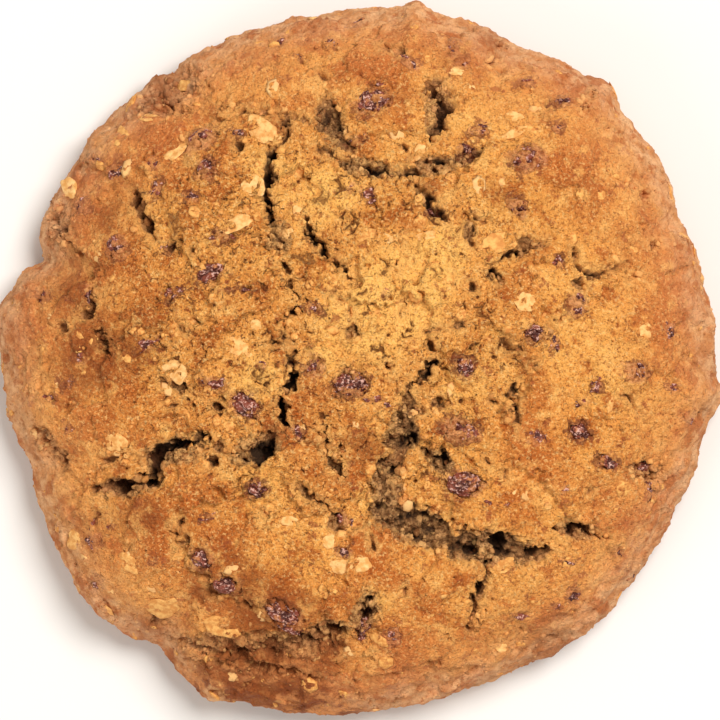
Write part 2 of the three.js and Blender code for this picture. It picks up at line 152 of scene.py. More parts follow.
# %% Material helper
class Finish(Wiring):
    """A material under construction: its methods add nodes and return their outputs."""

    def __init__(self, name):
        self.material = bpy.data.materials.new(name)
        self.material.use_nodes = True
        super().__init__(self.material.node_tree)
        self.tree.nodes.clear()
        self.shader = self.node("ShaderNodeBsdfPrincipled")
        output = self.node("ShaderNodeOutputMaterial")
        self.tree.links.new(self.shader.outputs["BSDF"], output.inputs["Surface"])
        scale = self.node("ShaderNodeVectorMath", operation="SCALE")
        place = self.node("ShaderNodeTexCoord").outputs["Object"]
        self.tree.links.new(place, scale.inputs[0])
        scale.inputs["Scale"].default_value = 1 / MM
        self.place = scale.outputs[0]

    def noise(self, size, detail=2.0, roughness=0.5, output="Fac"):
        """Noise from 0 to 1, its lumps about `size` mm apart."""
        texture = self.node("ShaderNodeTexNoise")
        self.feed(texture.inputs["Vector"], self.place)
        texture.inputs["Scale"].default_value = 1 / size
        texture.inputs["Detail"].default_value = detail
        texture.inputs["Roughness"].default_value = roughness
        return texture.outputs[output]

    def creases(self, size, wander):
        """Distance in mm to the nearest edge of cells about `size` mm across, whose edges wander."""
        push = self.node("ShaderNodeVectorMath", operation="MULTIPLY_ADD")
        self.feed(push.inputs[0], self.noise(size / 1.5, 3, output="Color"))
        push.inputs[1].default_value = (wander, wander, wander)
        self.feed(push.inputs[2], self.place)
        edges = self.node("ShaderNodeTexVoronoi", feature="DISTANCE_TO_EDGE")
        self.feed(edges.inputs["Vector"], push.outputs[0])
        edges.inputs["Scale"].default_value = 1 / size
        return self.times(edges.outputs["Distance"], size)

    def split(self, axis):
        """One coordinate of the place, in mm."""
        made = self.node("ShaderNodeSeparateXYZ")
        self.feed(made.inputs[0], self.place)
        return made.outputs[axis]

    def attribute(self, name):
        return self.node("ShaderNodeAttribute", attribute_name=name).outputs["Fac"]

    def math(self, operation, first, second=0.0):
        made = self.node("ShaderNodeMath", operation=operation)
        self.feed(made.inputs[0], first)
        self.feed(made.inputs[1], second)
        return made.outputs[0]

    def plus(self, first, second):
        return self.math("ADD", first, second)

    def times(self, first, second):
        return self.math("MULTIPLY", first, second)

    def within(self, value, low, high, low_gives=0.0, high_gives=1.0):
        """Maps low..high to low_gives..high_gives, smoothly, and no further."""
        made = self.node("ShaderNodeMapRange", interpolation_type="SMOOTHSTEP")
        self.feed(made.inputs["Value"], value)
        made.inputs["From Min"].default_value = low
        made.inputs["From Max"].default_value = high
        made.inputs["To Min"].default_value = low_gives
        made.inputs["To Max"].default_value = high_gives
        return made.outputs["Result"]

    def mix(self, share, first, second):
        """The first colour where the share is 0, the second where it is 1."""
        made = self.node("ShaderNodeMix", data_type="RGBA")
        self.feed(made.inputs["Factor"], share)
        self.feed(made.inputs[6], first)
        self.feed(made.inputs[7], second)
        return made.outputs[2]

    def bump(self, height, depth, under=None, strength=1.0):
        """Bump `depth` mm deep from a height of 0 to 1, over an earlier bump if there is one."""
        made = self.node("ShaderNodeBump")
        self.feed(made.inputs["Strength"], strength)
        made.inputs["Distance"].default_value = depth * MM
        self.feed(made.inputs["Height"], height)
        if under is not None:
            self.feed(made.inputs["Normal"], under)
        return made.outputs["Normal"]

    def finish(self, colour, roughness, normal, specular=0.3):
        self.feed(self.shader.inputs["Base Color"], colour)
        self.feed(self.shader.inputs["Roughness"], roughness)
        self.feed(self.shader.inputs["Normal"], normal)
        self.shader.inputs["Specular IOR Level"].default_value = specular
        return self.material


print("a finish is made with:", [name for name in vars(Finish) if not name.startswith("_")])

# %% [markdown]
# ## The form of the dough
# A cookie is a disc that slumped into a dome as it baked. Its outline is a circle with a few
# waves, nubs and nicks, and its height follows one curve from the middle to the rim. It could
# be sculpted, but a formula gives the same form as the packed solid, to any fineness.

# %% Sizes of the round, as in the packed model
MEAN_RADIUS = 41.84
HEIGHT = 19.5
GIRTH_LEVEL = 4.4
FOOT_INSET = 3.2
DOME_FLATNESS = 3.1
SHOULDER_FULLNESS = 1.75

# [waves round the rim, amplitude, direction of a crest in degrees]
OUTLINE_WAVES = [
    [1, 0.335, 289],
    [2, 0.65, 43],
    [4, 0.25, 61],
    [5, 0.2, 33],
    [6, 0.18, 0],
    [8, 0.21, 41],
]
# [direction in degrees, depth, width in degrees]
RIM_NUBS = [
    [354, 1.1, 2.5],
    [24, -0.7, 2],
    [48, 1.1, 3],
    [63, -0.6, 4],
    [81, 1.1, 2],
    [123, -0.8, 2],
    [140, 0.6, 3],
    [162.5, -2.4, 3],
    [174, 1.0, 4],
    [198, -0.8, 4],
    [220, 0.6, 8],
    [235, -1.7, 4],
    [246, 1.3, 3],
]
# Broad swells and hollows of the crust: [x, y, reach, height]
SWELLS = [
    [-19, 3.4, 8.5, 0.9],
    [-13, -22.2, 8, 0.9],
    [-1.1, -7.6, 3.8, 1.1],
    [-1.7, 9.5, 7, 0.5],
    [29, -5, 8, 0.5],
    [21, -28.5, 6, 0.5],
    [-15.4, 20.1, 6, 0.7],
    [20.3, 24, 7, 0.5],
    [7, -29, 6, 0.6],
    [9.5, -19.5, 4, -0.8],
    [-20.5, 30, 4, -0.8],
]


def rim_radius(angle):
    """Distance from the middle to the rim, in mm, in a direction in radians."""
    radius = MEAN_RADIUS + np.zeros_like(angle)
    for waves, amplitude, crest in OUTLINE_WAVES:
        radius += amplitude * np.cos(waves * (angle - math.radians(crest)))
    for direction, depth, width in RIM_NUBS:
        off = (angle - math.radians(direction) + math.pi) % (2 * math.pi) - math.pi
        radius += depth * np.exp(-((off / math.radians(width)) ** 2))
    return radius


def dome_height(share):
    """Height of the dome at a share of the way from the middle to the rim."""
    fall = 1 - np.minimum(1, share) ** DOME_FLATNESS
    return GIRTH_LEVEL + (HEIGHT - GIRTH_LEVEL) * fall ** (1 / SHOULDER_FULLNESS)


def round_bumps(x, y, rows):
    """Sum of soft round bumps at (x, y), from rows of [x, y, reach, amount]."""
    return sum(
        amount * np.exp(-((x - a) ** 2 + (y - b) ** 2) / reach**2) for a, b, reach, amount in rows
    )


def swell_height(x, y):
    """What the broad swells add to the height at (x, y)."""
    return round_bumps(x, y, SWELLS)


RIM = rim_radius(np.linspace(0, 2 * math.pi, 721))
print("rim from", RIM.min().round(1), "mm to", RIM.max().round(1), "mm")

# %% [markdown]
# A disc of points laid out as in a honeycomb has no crowded pole: ring 1 has 6 points, ring 2
# has 12, and so on. The rings are spread evenly along the slope, over the rim and down the
# side, so the triangles are about as large everywhere. The underside is a coarser honeycomb,
# and each of its edges fans out to the finer rim.

# %% Honeycomb of the dough
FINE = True
TOP_RINGS = 400 if FINE else 165
BASE_RATIO = 5  # rim points for each edge of the underside's honeycomb


def honeycomb_faces(rings):
    """Triangles of a disc whose ring k has 6k points, counted outwards from the middle."""
    faces = []
    for k in range(1, rings + 1):
        outer_start = 1 + 3 * k * (k - 1)
        inner_start = 1 + 3 * (k - 1) * (k - 2) if k > 1 else 0
        sector, j = np.meshgrid(np.arange(6), np.arange(k), indexing="ij")
        here = outer_start + (sector * k + j) % (6 * k)
        after = outer_start + (sector * k + j + 1) % (6 * k)
        inner = inner_start + (sector * (k - 1) + j) % max(1, 6 * (k - 1))
        inner_after = inner_start + (sector * (k - 1) + j + 1) % max(1, 6 * (k - 1))
        faces.append(np.stack([here, after, inner], -1).reshape(-1, 3))
        short = j < k - 1
        faces.append(np.stack([inner[short], after[short], inner_after[short]], -1))
    return np.concatenate(faces)


def honeycomb_places(rings):
    """(ring, angle) of each point of that disc."""
    ring = np.concatenate([[0]] + [np.full(6 * k, k) for k in range(1, rings + 1)])
    step = np.concatenate([[0]] + [np.arange(6 * k) for k in range(1, rings + 1)])
    return ring, 2 * math.pi * step / np.maximum(1, 6 * ring)


print("points on the top and the side:", 1 + 3 * TOP_RINGS * (TOP_RINGS + 1))

# %% [markdown]
# The rings follow the slope from the middle over the rim, round the side and in to the foot.
# The top belongs to the dome, and the side is a quarter turn that ends a little inside the rim,
# as dough that rests on a tray does.


# %% Points of the dough
def profile(share_of_slope):
    """(share of the radius, quarter turn down the side) at a share of the way down the slope."""
    share = np.linspace(0, 1, 2000)
    turn = np.linspace(0, math.pi / 2, 200)
    run = np.concatenate([MEAN_RADIUS * share, MEAN_RADIUS - FOOT_INSET * (1 - np.cos(turn[1:]))])
    drop = np.concatenate([dome_height(share), GIRTH_LEVEL * (1 - np.sin(turn[1:]))])
    length = np.concatenate([[0], np.cumsum(np.hypot(np.diff(run), np.diff(drop)))])
    at = share_of_slope * length[-1]
    shares = np.interp(at, length, np.concatenate([share, np.ones(len(turn) - 1)]))
    turns = np.interp(at, length, np.concatenate([np.zeros(len(share)), turn[1:]]))
    return shares, turns


def smooth_dough():
    """Points in mm and triangles of the closed round, before any crack or crumb."""
    ring, angle = honeycomb_places(TOP_RINGS)
    share, turn = profile(ring / TOP_RINGS)
    radius = share * rim_radius(angle) - FOOT_INSET * (1 - np.cos(turn))
    x, y = radius * np.cos(angle), radius * np.sin(angle)
    top = dome_height(share) + swell_height(x, y)
    side = GIRTH_LEVEL * (1 - np.sin(turn)) + swell_height(x, y) * (1 - np.sin(turn))
    points = np.stack([x, y, np.where(turn > 0, side, top)], -1)
    faces = [honeycomb_faces(TOP_RINGS)]

    rings = TOP_RINGS // BASE_RATIO
    ring, angle = honeycomb_places(rings - 1)
    radius = (rim_radius(angle) - FOOT_INSET) * ring / rings
    base = np.stack([radius * np.cos(angle), radius * np.sin(angle), 0 * radius], -1)
    rim = np.arange(len(points) - 6 * TOP_RINGS, len(points))
    index = np.concatenate([len(points) + np.arange(len(base)), rim[::BASE_RATIO]])
    faces.append(index[honeycomb_faces(rings)][:, ::-1])
    corner = rim[::BASE_RATIO]
    for k in range(1, BASE_RATIO):
        after = rim[(np.arange(len(corner)) * BASE_RATIO + k + 1) % len(rim)]
        faces.append(np.stack([corner, after, corner + k], -1))
    return np.concatenate([points, base]), np.concatenate(faces)


def point_normals(points, faces):
    """Outward directions at the points, from the triangles round each."""
    a, b, c = (points[faces[:, i]] for i in range(3))
    across = np.cross(b - a, c - a)
    total = np.zeros_like(points)
    for i in range(3):
        for axis in range(3):
            total[:, axis] += np.bincount(faces[:, i], across[:, axis], len(points))
    return total / np.linalg.norm(total, axis=1, keepdims=True)


points, faces = smooth_dough()
normals = point_normals(points, faces)
print("honeycomb:", len(points), "points,", len(faces), "triangles")

# %% [markdown]
# ## Cracks, torn crumb and openings
# As the inside rises, the crust splits. A crack is a trough along a route, and its lips don't
# run smooth: they break between crumbs. A texture could paint cracks, but only real troughs
# throw real shadows. So each point of the crust is asked how far it is from the nearest lip,
# after it has been drawn towards the middle of its own crumb.

# %% Routes of the cracks
# (width between the lips, depth, points of the route)
CRACKS = [
    (1.3, 4.6, [[-8.6, 28.4], [-9, 26], [-10.5, 24.3], [-10.8, 20], [-10.3, 15.8]]),
    (0.7, 2.4, [[-9.9, 14.6], [-9, 11.5], [-7.4, 6.5], [-8.6, 4.3], [-8, 1.5]]),
    (1.1, 4.2, [[-8, 0.8], [-7.8, -2.3], [-9.1, -4.9], [-9, -7.1], [-6.4, -9.5]]),
    (2.2, 2.8, [[-13, -11.6], [-11.2, -10.8], [-10, -8.8]]),
    (0.5, 1.4, [[-17.8, -10.1], [-15.9, -11.1], [-13.8, -11.4]]),
    (1.6, 3.2, [[-18, -9.3], [-20.7, -10.1], [-23.4, -10.4], [-24, -12.6], [-24.1, -15.2]]),
    (1.3, 3.4, [[-24.2, -14.3], [-26.5, -14.8], [-28.8, -15.4], [-31.8, -15.7]]),
    (0.9, 3.0, [[9.0, -0.2], [7.2, -2.2], [5.6, -4.2], [5.8, -5.9]]),
    (2.3, 1.7, [[5.8, -6], [5.3, -9.2], [4.2, -12]]),
    (1.9, 1.8, [[4, -11.4], [2.6, -14.4], [2.2, -18.5]]),
    (1.5, 2.2, [[7.4, -11], [9.3, -11.8], [10.2, -13.5]]),
    (3.6, 1.35, [[1.6, -18], [6, -19.2], [9.6, -20.8], [13.2, -22.2], [16.7, -22.3], [20.6, -23]]),
    (1.4, 3.0, [[19.3, -24], [21, -23], [23.3, -22.3]]),
    (1.3, 2.8, [[22.7, -20.2], [24.3, -20.8], [25.9, -19.8], [27.4, -20.4], [29.6, -21.6]]),
    (1.0, 3.0, [[14.8, -23.6], [14.8, -26.6], [13.6, -29.5], [13.2, -32.4]]),
    (2.2, 2.0, [[-3.5, -32.8], [-7.1, -33.6], [-11, -34.7], [-14, -35]]),
    (1.0, 1.4, [[-13.4, -35], [-17.6, -34.8], [-22.9, -33.6]]),
    (1.3, 3.0, [[1.3, -27.7], [1, -30.4], [-0.4, -33]]),
    (2.1, 1.3, [[-4.1, 30.6], [-3, 27.7], [-1.2, 24.4]]),
    (0.9, 2.2, [[-5.1, 25], [-1.7, 22.9], [1.5, 22.4], [4.3, 21.7]]),
    (2.2, 2.4, [[8.2, 33], [9.5, 30.8], [9.8, 28.6], [8.7, 26]]),
    (1.4, 2.6, [[5.1, 22.4], [8.2, 22.8], [11.2, 23.6], [14.5, 24.7]]),
    (0.8, 2.0, [[6.4, 21.2], [7.6, 19], [9.4, 16.8], [10.8, 15]]),
    (0.8, 2.2, [[-6.8, 17.2], [-5.9, 14.8], [-4, 12.4], [-1.8, 10.5], [-0.5, 8.8]]),
    (0.9, 2.6, [[22, 14.1], [19.6, 12.9], [16.7, 12.1], [15.7, 10.5], [16.4, 8.7]]),
    (0.8, 2.2, [[25.1, 13.5], [26.7, 9.4], [28.6, 10.1], [31.8, 11.2]]),
    (0.9, 2.2, [[-30.9, 3.6], [-29.9, 1.8], [-29, 0.2]]),
    (0.8, 1.8, [[-31.4, 8], [-31.9, 6.2], [-33.2, 5.4]]),
    (1.0, 2.4, [[-27.5, 20.1], [-26.4, 18.2], [-25.5, 16], [-24.3, 14]]),
    (0.9, 1.5, [[-36.5, 18.6], [-36.6, 15], [-35.2, 12.2]]),
    (1.0, 3.0, [[-4.6, -8.2], [-4.2, -10.9], [-1.7, -14]]),
    (0.8, 2.2, [[-6.1, -15.5], [-4.7, -16.6], [-3.3, -18]]),
    (0.8, 2.2, [[18.7, -3], [18, -5.9], [18.8, -9]]),
    (1.3, 2.2, [[32.5, -13.4], [34.1, -12.8], [35.7, -14.4]]),
    (1.1, 2.2, [[-38.7, -8.3], [-37.1, -10.2], [-35.2, -12.5]]),
    (1.4, 1.2, [[-24.2, 32.4], [-22.6, 30.6], [-20.4, 29.6]]),
]
# Hairlines, too fine for the packed solid
CRACKS += [
    (0.6, 1.6, [[-17.3, 29.8], [-12.8, 29.3], [-9.7, 29], [-5.7, 28.3]]),
    (0.5, 1.4, [[5, 14.9], [5.2, 13.2], [5.9, 11.4]]),
    (0.6, 1.4, [[25, 30.8], [22.7, 30.1], [21.2, 29.1], [22.1, 28.4]]),
    (0.6, 1.4, [[27.5, 31.7], [26.7, 30.3], [26, 28.9]]),
    (0.5, 1.2, [[30.8, 12.9], [31.7, 13.6], [32.7, 14.3]]),
    (0.8, 1.8, [[16.5, 2.2], [17.9, 1.5], [19.1, 0.8]]),
    (
        0.7, 1.4,
        [[-22.4, -19.5], [-21, -22.4], [-19, -25.2], [-16.6, -27.2], [-13, -28.8], [-11.2, -29.8]],
    ),
    (0.8, 1.5, [[-21, -35.6], [-15.5, -36.2], [-10, -37], [-5, -37.6]]),
    (0.5, 1.2, [[-17.2, 28.4], [-19.4, 26.6], [-20.8, 24.6], [-20.2, 23.4]]),
    (0.7, 1.8, [[2.0, 0.5], [2.9, -0.4], [3.9, -1.8]]),
]
# Short crevices, written as the cracks are. The last few are deep pockets in wide cracks.
CREVICES = [
    (1.2, 1.7, [[-1.7, 3.4], [-0.9, 3.0], [-0.2, 2.6]]),
    (0.6, 1.3, [[-1.2, 6.0], [-0.9, 4.8]]),
    (0.7, 1.3, [[-3.5, 7.7], [-2.3, 7.0], [-1.6, 6.2]]),
    (0.6, 1.3, [[8.2, 2.2], [8.9, 0.8]]),
    (0.8, 1.4, [[7.6, 3.0], [8.9, 3.3], [9.7, 3.9]]),
    (1.2, 1.8, [[10.5, 3.6], [11.4, 3.7], [12.2, 4.5]]),
    (0.9, 1.5, [[8.4, -4.5], [9.3, -5.2], [10.2, -5.9]]),
    (1.5, 2.0, [[5.4, -3.7], [5.9, -5.2], [6.6, -6.2], [7.6, -6.2]]),
    (0.7, 1.4, [[-9.1, 1.6], [-10.4, 1.7], [-11.6, 1.6]]),
    (0.8, 1.4, [[-2.3, -1.7], [-1.1, -1.1]]),
    (0.7, 1.4, [[5.5, 7.0], [5.1, 5.8], [4.6, 4.5]]),
    (0.6, 1.3, [[10.7, 10.3], [11.0, 8.4]]),
    (0.8, 1.4, [[3.9, 10.8], [4.6, 10.3]]),
    (1.1, 1.7, [[2.2, 36.9], [3.6, 36.5], [4.6, 36.2], [5.3, 35.6]]),
    (0.7, 1.3, [[-4.9, 34.3], [-4.1, 32.9]]),
    (1.1, 1.7, [[-14.7, 24.9], [-13.5, 24.9]]),
    (0.6, 1.3, [[-15.6, 28.6], [-17.6, 27.9], [-19.2, 26.4], [-19.9, 25.3]]),
    (0.6, 1.2, [[-15.9, 27.4], [-17.6, 26.4], [-19.0, 25.5]]),
    (1.1, 1.7, [[-26.8, 18.5], [-26.1, 18.9]]),
    (0.6, 1.2, [[-27.7, 20.1], [-26.5, 19.7]]),
    (1.5, 2.0, [[-26.1, 17.4], [-25.4, 15.8], [-24.7, 15.1]]),
    (0.7, 1.4, [[-23.1, 12.9], [-21.8, 14.1]]),
    (0.7, 1.4, [[-19.8, 12.6], [-19.2, 12.7]]),
    (1.4, 1.9, [[-33.4, 5.4], [-32.1, 5.3], [-31.6, 6.6]]),
    (1.7, 2.2, [[-35.8, 4.1], [-34.8, 3.4]]),
    (0.8, 1.4, [[-21.4, 4.0], [-20.6, 3.0]]),
    (0.7, 1.3, [[-20.2, 4.6], [-18.7, 4.3]]),
    (0.8, 1.4, [[-23.7, -2.3], [-22.8, -3.3]]),
    (1.5, 2.0, [[-22.3, -3.7], [-21.6, -3.3], [-20.9, -4.3]]),
    (1.0, 1.6, [[-20.6, -4.3], [-19.0, -4.7]]),
    (1.2, 1.8, [[-17.4, -5.7], [-15.9, -5.9]]),
    (0.6, 1.2, [[-23.1, -5.7], [-21.4, -5.7]]),
    (1.5, 2.0, [[-17.2, -9.7], [-16.0, -10.9]]),
    (1.5, 2.0, [[-18.0, -11.5], [-16.8, -12.3]]),
    (0.7, 1.3, [[-30.9, -12.1], [-29.1, -11.8], [-27.3, -11.1]]),
    (1.6, 2.1, [[-21.5, -19.2], [-21.0, -19.5]]),
    (0.7, 1.4, [[-11.4, -17.8], [-10.9, -18.5]]),
    (1.1, 1.7, [[-27.7, -23.0], [-27.3, -22.0]]),
    (0.7, 1.4, [[-20.5, -21.0], [-20.2, -22.6]]),
    (0.7, 1.4, [[-30.9, -18.7], [-32.1, -19.2]]),
    (1.4, 1.9, [[-33.5, 12.1], [-32.8, 12.6]]),
    (1.2, 1.8, [[-35.4, 14.3], [-34.5, 13.4], [-34.2, 12.3]]),
    (1.4, 1.9, [[-35.9, 16.2], [-35.2, 15.3]]),
    (1.2, 1.8, [[-7.4, -14.7], [-5.7, -16.1], [-4.5, -16.8], [-3.7, -17.3]]),
    (2.1, 2.3, [[-3.3, -18.4], [-2.6, -19.5], [-2.1, -20.4]]),
    (0.7, 1.3, [[-0.7, -20.1], [0.3, -19.5]]),
    (0.7, 1.4, [[1.2, -21.0], [2.0, -22.6]]),
    (0.8, 1.4, [[5.2, -28.1], [5.5, -27.0]]),
    (1.0, 1.6, [[-14.2, -28.7], [-13.3, -29.2]]),
    (1.4, 1.9, [[-18.4, -27.5], [-16.6, -27.1], [-14.5, -26.6]]),
    (2.3, 2.5, [[-24.3, -30.9], [-23.1, -31.8]]),
    (0.8, 1.4, [[14.8, -11.6], [15.3, -12.4]]),
    (0.6, 1.3, [[17.3, -13.3], [17.3, -14.5]]),
    (0.7, 1.4, [[27.0, -15.9], [27.7, -15.6]]),
    (1.0, 1.6, [[19.0, -32.3], [19.6, -32.7]]),
    (0.6, 1.2, [[23.9, -33.3], [22.1, -33.5]]),
    (0.6, 1.3, [[31.7, 9.1], [32.7, 9.7], [33.6, 9.8]]),
    (0.7, 1.4, [[25.0, 12.4], [25.5, 11.5], [26.2, 10.1]]),
    (1.2, 1.8, [[34.3, 13.5], [35.3, 13.6]]),
    (0.8, 1.4, [[38.6, 0.8], [39.3, -1.1]]),
    (0.5, 1.2, [[30.6, -4.3], [32.2, -4.9], [33.4, -6.8]]),
    (0.8, 1.4, [[15.3, -4.9], [16.7, -5.2]]),
    (2.6, 2.9, [[16.7, 2.2], [17.8, 1.2]]),
    (0.8, 1.4, [[19.8, -0.8], [20.8, -0.9]]),
    (0.8, 1.4, [[23.3, 4.3], [23.9, 4.8], [24.6, 5.1]]),
    (0.8, 1.4, [[22.1, 4.0], [22.4, 2.7]]),
    (1.1, 1.7, [[15.5, 35.3], [16.2, 36.0], [17.1, 36.7]]),
    (0.7, 1.4, [[16.5, 34.8], [17.6, 34.1]]),
    (0.6, 1.2, [[32.0, 21.0], [33.4, 20.3]]),
    (1.1, 1.7, [[34.3, 20.1], [34.0, 18.6]]),
    (0.7, 1.3, [[17.7, 23.0], [17.2, 22.4]]),
    (1.4, 1.9, [[13.5, 17.0], [14.9, 16.2]]),
    (1.1, 1.7, [[13.1, 15.9], [12.6, 14.1], [13.4, 13.1]]),
    (2.6, 2.9, [[19.1, 13.3], [20.4, 13.9]]),
    (1.5, 2.0, [[12.8, 9.0], [13.4, 7.9]]),
    (1.0, 1.6, [[5.2, 25.4], [6.0, 24.8]]),
    (1.1, 1.7, [[7.0, 20.4], [7.8, 18.6]]),
    (1.1, 2.2, [[6.2, 23.6], [8.4, 23.4]]),
    (1.7, 2.1, [[25.6, 7.0], [26.1, 8.4], [25.4, 9.2]]),
    (2.6, 4.6, [[15.2, -21.7], [17.2, -21.9]]),
    (2.4, 4.6, [[12.6, -21.8], [14, -23.2]]),
    (1.4, 3.4, [[5.6, -8.6], [5.0, -10.6]]),
    (2.4, 4.6, [[-3.6, -31.8], [-1.8, -32.5]]),
    (1.5, 3.4, [[-14.6, -35.5], [-12.6, -35.2]]),
    (2.0, 4.2, [[-24, -10.4], [-24.2, -12], [-24.7, -14.2]]),
    (1.4, 3.6, [[10.2, 31], [10, 28.6]]),
]
CRACK_END = 0.3  # width and depth of a crack's ends against its middle
FAR = 9.0  # a distance past which nothing is told apart
print("cracks:", len(CRACKS), "and crevices:", len(CREVICES))

# %% [markdown]
# Where the skin tears, the crumb under it shows. Scraps of raisin and browned patches lie where
# the mixing and the oven left them, so each has a place of its own. A rule with random draws
# could spread them, but then this cookie would have the face of another one.

# %% Patches of torn crumb, scraps of raisin and browned patches
# Where the skin of the crust has torn away: [x, y, length, width, turn in degrees, depth]
TORN_PATCHES = [
    [-23, 31.4, 8, 4.2, 30, 0.9],
    [-3.2, 27.6, 7, 3.4, -65, 0.9],
    [9.2, 29.6, 7.5, 3.6, 80, 0.9],
    [1.2, 22.6, 8, 2.4, -8, 0.5],
    [9.8, 23, 8.5, 2.4, 12, 0.7],
    [5.2, -8.6, 7, 4.2, 80, 1.0],
    [3, -15.6, 8.5, 4.2, 75, 1.1],
    [9.2, -12, 4.6, 3, -40, 0.8],
    [6.5, -19.6, 10, 4.8, -20, 1.2],
    [15.8, -22.4, 11, 4.6, -8, 1.2],
    [25.9, -20.4, 7, 2.6, -10, 0.8],
    [-12.2, -10.6, 7, 3.4, 20, 0.9],
    [-22, -11, 8, 3.4, 5, 0.8],
    [-28, -15.2, 8, 2.8, 5, 0.8],
    [-12, -34, 22, 3.8, -2, 1.2],
    [0.6, -30.2, 7, 3.4, 75, 1.0],
    [-36.8, -10.6, 7, 2.6, -50, 0.7],
    [34, -13.6, 5, 2.8, -10, 0.7],
    [-9.6, 14.4, 4.4, 3.4, 80, 0.6],
    [-3.8, -32.2, 5.4, 3.2, 10, 1.1],
    [-36, 15.6, 7, 2.4, 80, 0.35],
]
# Scraps of raisin baked flush into the crust: [x, y, length, width, turn in degrees]
RAISIN_SCRAPS = [
    [1.2, 19.2, 2.1, 1.9, 0],
    [-19.7, 19, 2, 1.7, 0],
    [-16.6, -2.9, 2.4, 1.7, 0],
    [23.3, 11.4, 1.7, 1.6, 0],
    [20.9, -9.1, 2.1, 1.9, 0],
    [36.2, 3.3, 1.9, 2.1, -20],
    [-28.6, 22, 2.4, 1.7, 40],
    [-32.8, 18, 1.8, 2, 0],
    [-31.4, -21.5, 2, 1.7, 0],
    [3.9, -32.6, 2.4, 1.9, 10],
    [25.4, -28, 1.9, 1.7, 0],
    [-24, 19.8, 2.1, 1.4, 50],
    [-21.2, 7.7, 2.6, 1.4, 30],
    [-1.9, -18.9, 1.7, 2.2, 20],
    [19.2, -30.5, 2.9, 1.2, 0],
    [13.9, 26.6, 2.4, 1.4, 0],
    [-34.6, -2.9, 2.4, 1.4, 0],
    [-30.9, 23.6, 1.6, 1.2, 0],
    [-28.5, 21.8, 2.4, 1.2, 50],
    [-24.3, 22.8, 2, 1.5, 70],
    [-24.1, 20.3, 2.4, 1.1, 60],
    [-14.2, 26.4, 1.9, 1.3, -20],
    [-16.0, 14.1, 2.8, 1, 0],
    [-22.8, 13.1, 1.5, 0.7, 45],
    [-37.4, 7.6, 1.5, 2, 0],
    [-34.5, 7.0, 1.2, 1, 0],
    [-32.1, 7.9, 1.1, 2.4, 10],
    [-22.0, 7.8, 2.8, 1.1, 40],
    [-14.6, 7.9, 3.2, 0.8, 5],
    [-24.9, 1.6, 3.6, 1.2, 25],
    [-33.0, 0.1, 1.5, 1.4, 0],
    [-34.5, -2.8, 2.4, 0.9, 0],
    [-36.6, -4.5, 1.4, 1.1, 20],
    [-17.2, -2.9, 2.3, 1.6, 0],
    [-34.2, -8.2, 1.2, 1.2, 0],
    [-31.5, -19.5, 1, 1.4, -20],
    [-31.5, -21.6, 2.2, 1.8, 0],
    [-29.5, -19.8, 0.9, 0.8, 0],
    [-24.1, -24.0, 1.3, 1, 0],
    [-31.2, -26.7, 1.1, 1, 0],
    [-17.8, -18.6, 2.4, 1.1, 15],
    [-1.7, -22.8, 2, 1.1, 15],
    [15.1, -16.8, 1.4, 1, 0],
    [24.2, -15.2, 1.2, 0.9, 0],
    [24.6, -24.0, 2, 0.9, 0],
    [23.3, -29.3, 1.2, 1.1, 0],
    [32.2, -25.8, 1.6, 1.1, 20],
    [30.6, -23.0, 1, 0.9, 0],
    [33.4, -12.9, 2.1, 1.3, -20],
    [34.3, -15.6, 1.3, 2, 20],
    [27.9, -3.3, 2.2, 1.8, 0],
    [25.9, -5.3, 2, 0.8, 20],
    [36.9, -3.5, 1.8, 1.2, 0],
    [25.4, 5.5, 1.3, 1.2, 0],
    [22.9, 1.6, 1.2, 1.9, 0],
    [12.6, 24.7, 2.4, 1.5, 0],
    [19.7, 32.7, 2.4, 0.7, 0],
    [24.1, 30.4, 2.3, 0.9, 0],
    [23.3, 27.3, 1.5, 1, -20],
    [14.3, 27.3, 2, 1, 0],
    [2.4, 32.2, 1.3, 1.3, 0],
    [6.1, 34.8, 2.6, 1.5, -50],
    [11.1, 36.7, 1.3, 1.8, 0],
    [12.0, 34.8, 1.7, 1.4, 0],
    [-0.3, 25.8, 2.2, 0.6, 30],
    [-1.0, 20.3, 2.6, 0.6, 40],
    [-9.2, 37.5, 1.2, 1.2, 0],
    [-3.2, 37.3, 1.4, 1, 0],
    [0.1, 40.0, 2, 0.7, 15],
    [-5.5, 5.9, 3, 1.6, -20],
    [1.7, -4.6, 2.3, 1.5, -10],
    [3.2, -5.4, 1.3, 0.8, 20],
    [-7.2, -8.5, 2, 1.5, 0],
    [3.0, 7.7, 1.1, 0.9, 0],
    [-11.6, -0.4, 1.2, 1, 0],
    [8.4, 17.1, 1.5, 1.1, 0],
    [39.1, -7.3, 1.1, 1.3, 0],
    [-7.1, 35.5, 0.8, 0.7, 0],
    [17.3, -17.1, 1, 0.8, 0],
    [0.5, -31.8, 3, 1.5, 75],
    [-8.4, -31.4, 3.6, 1.5, -28],
]
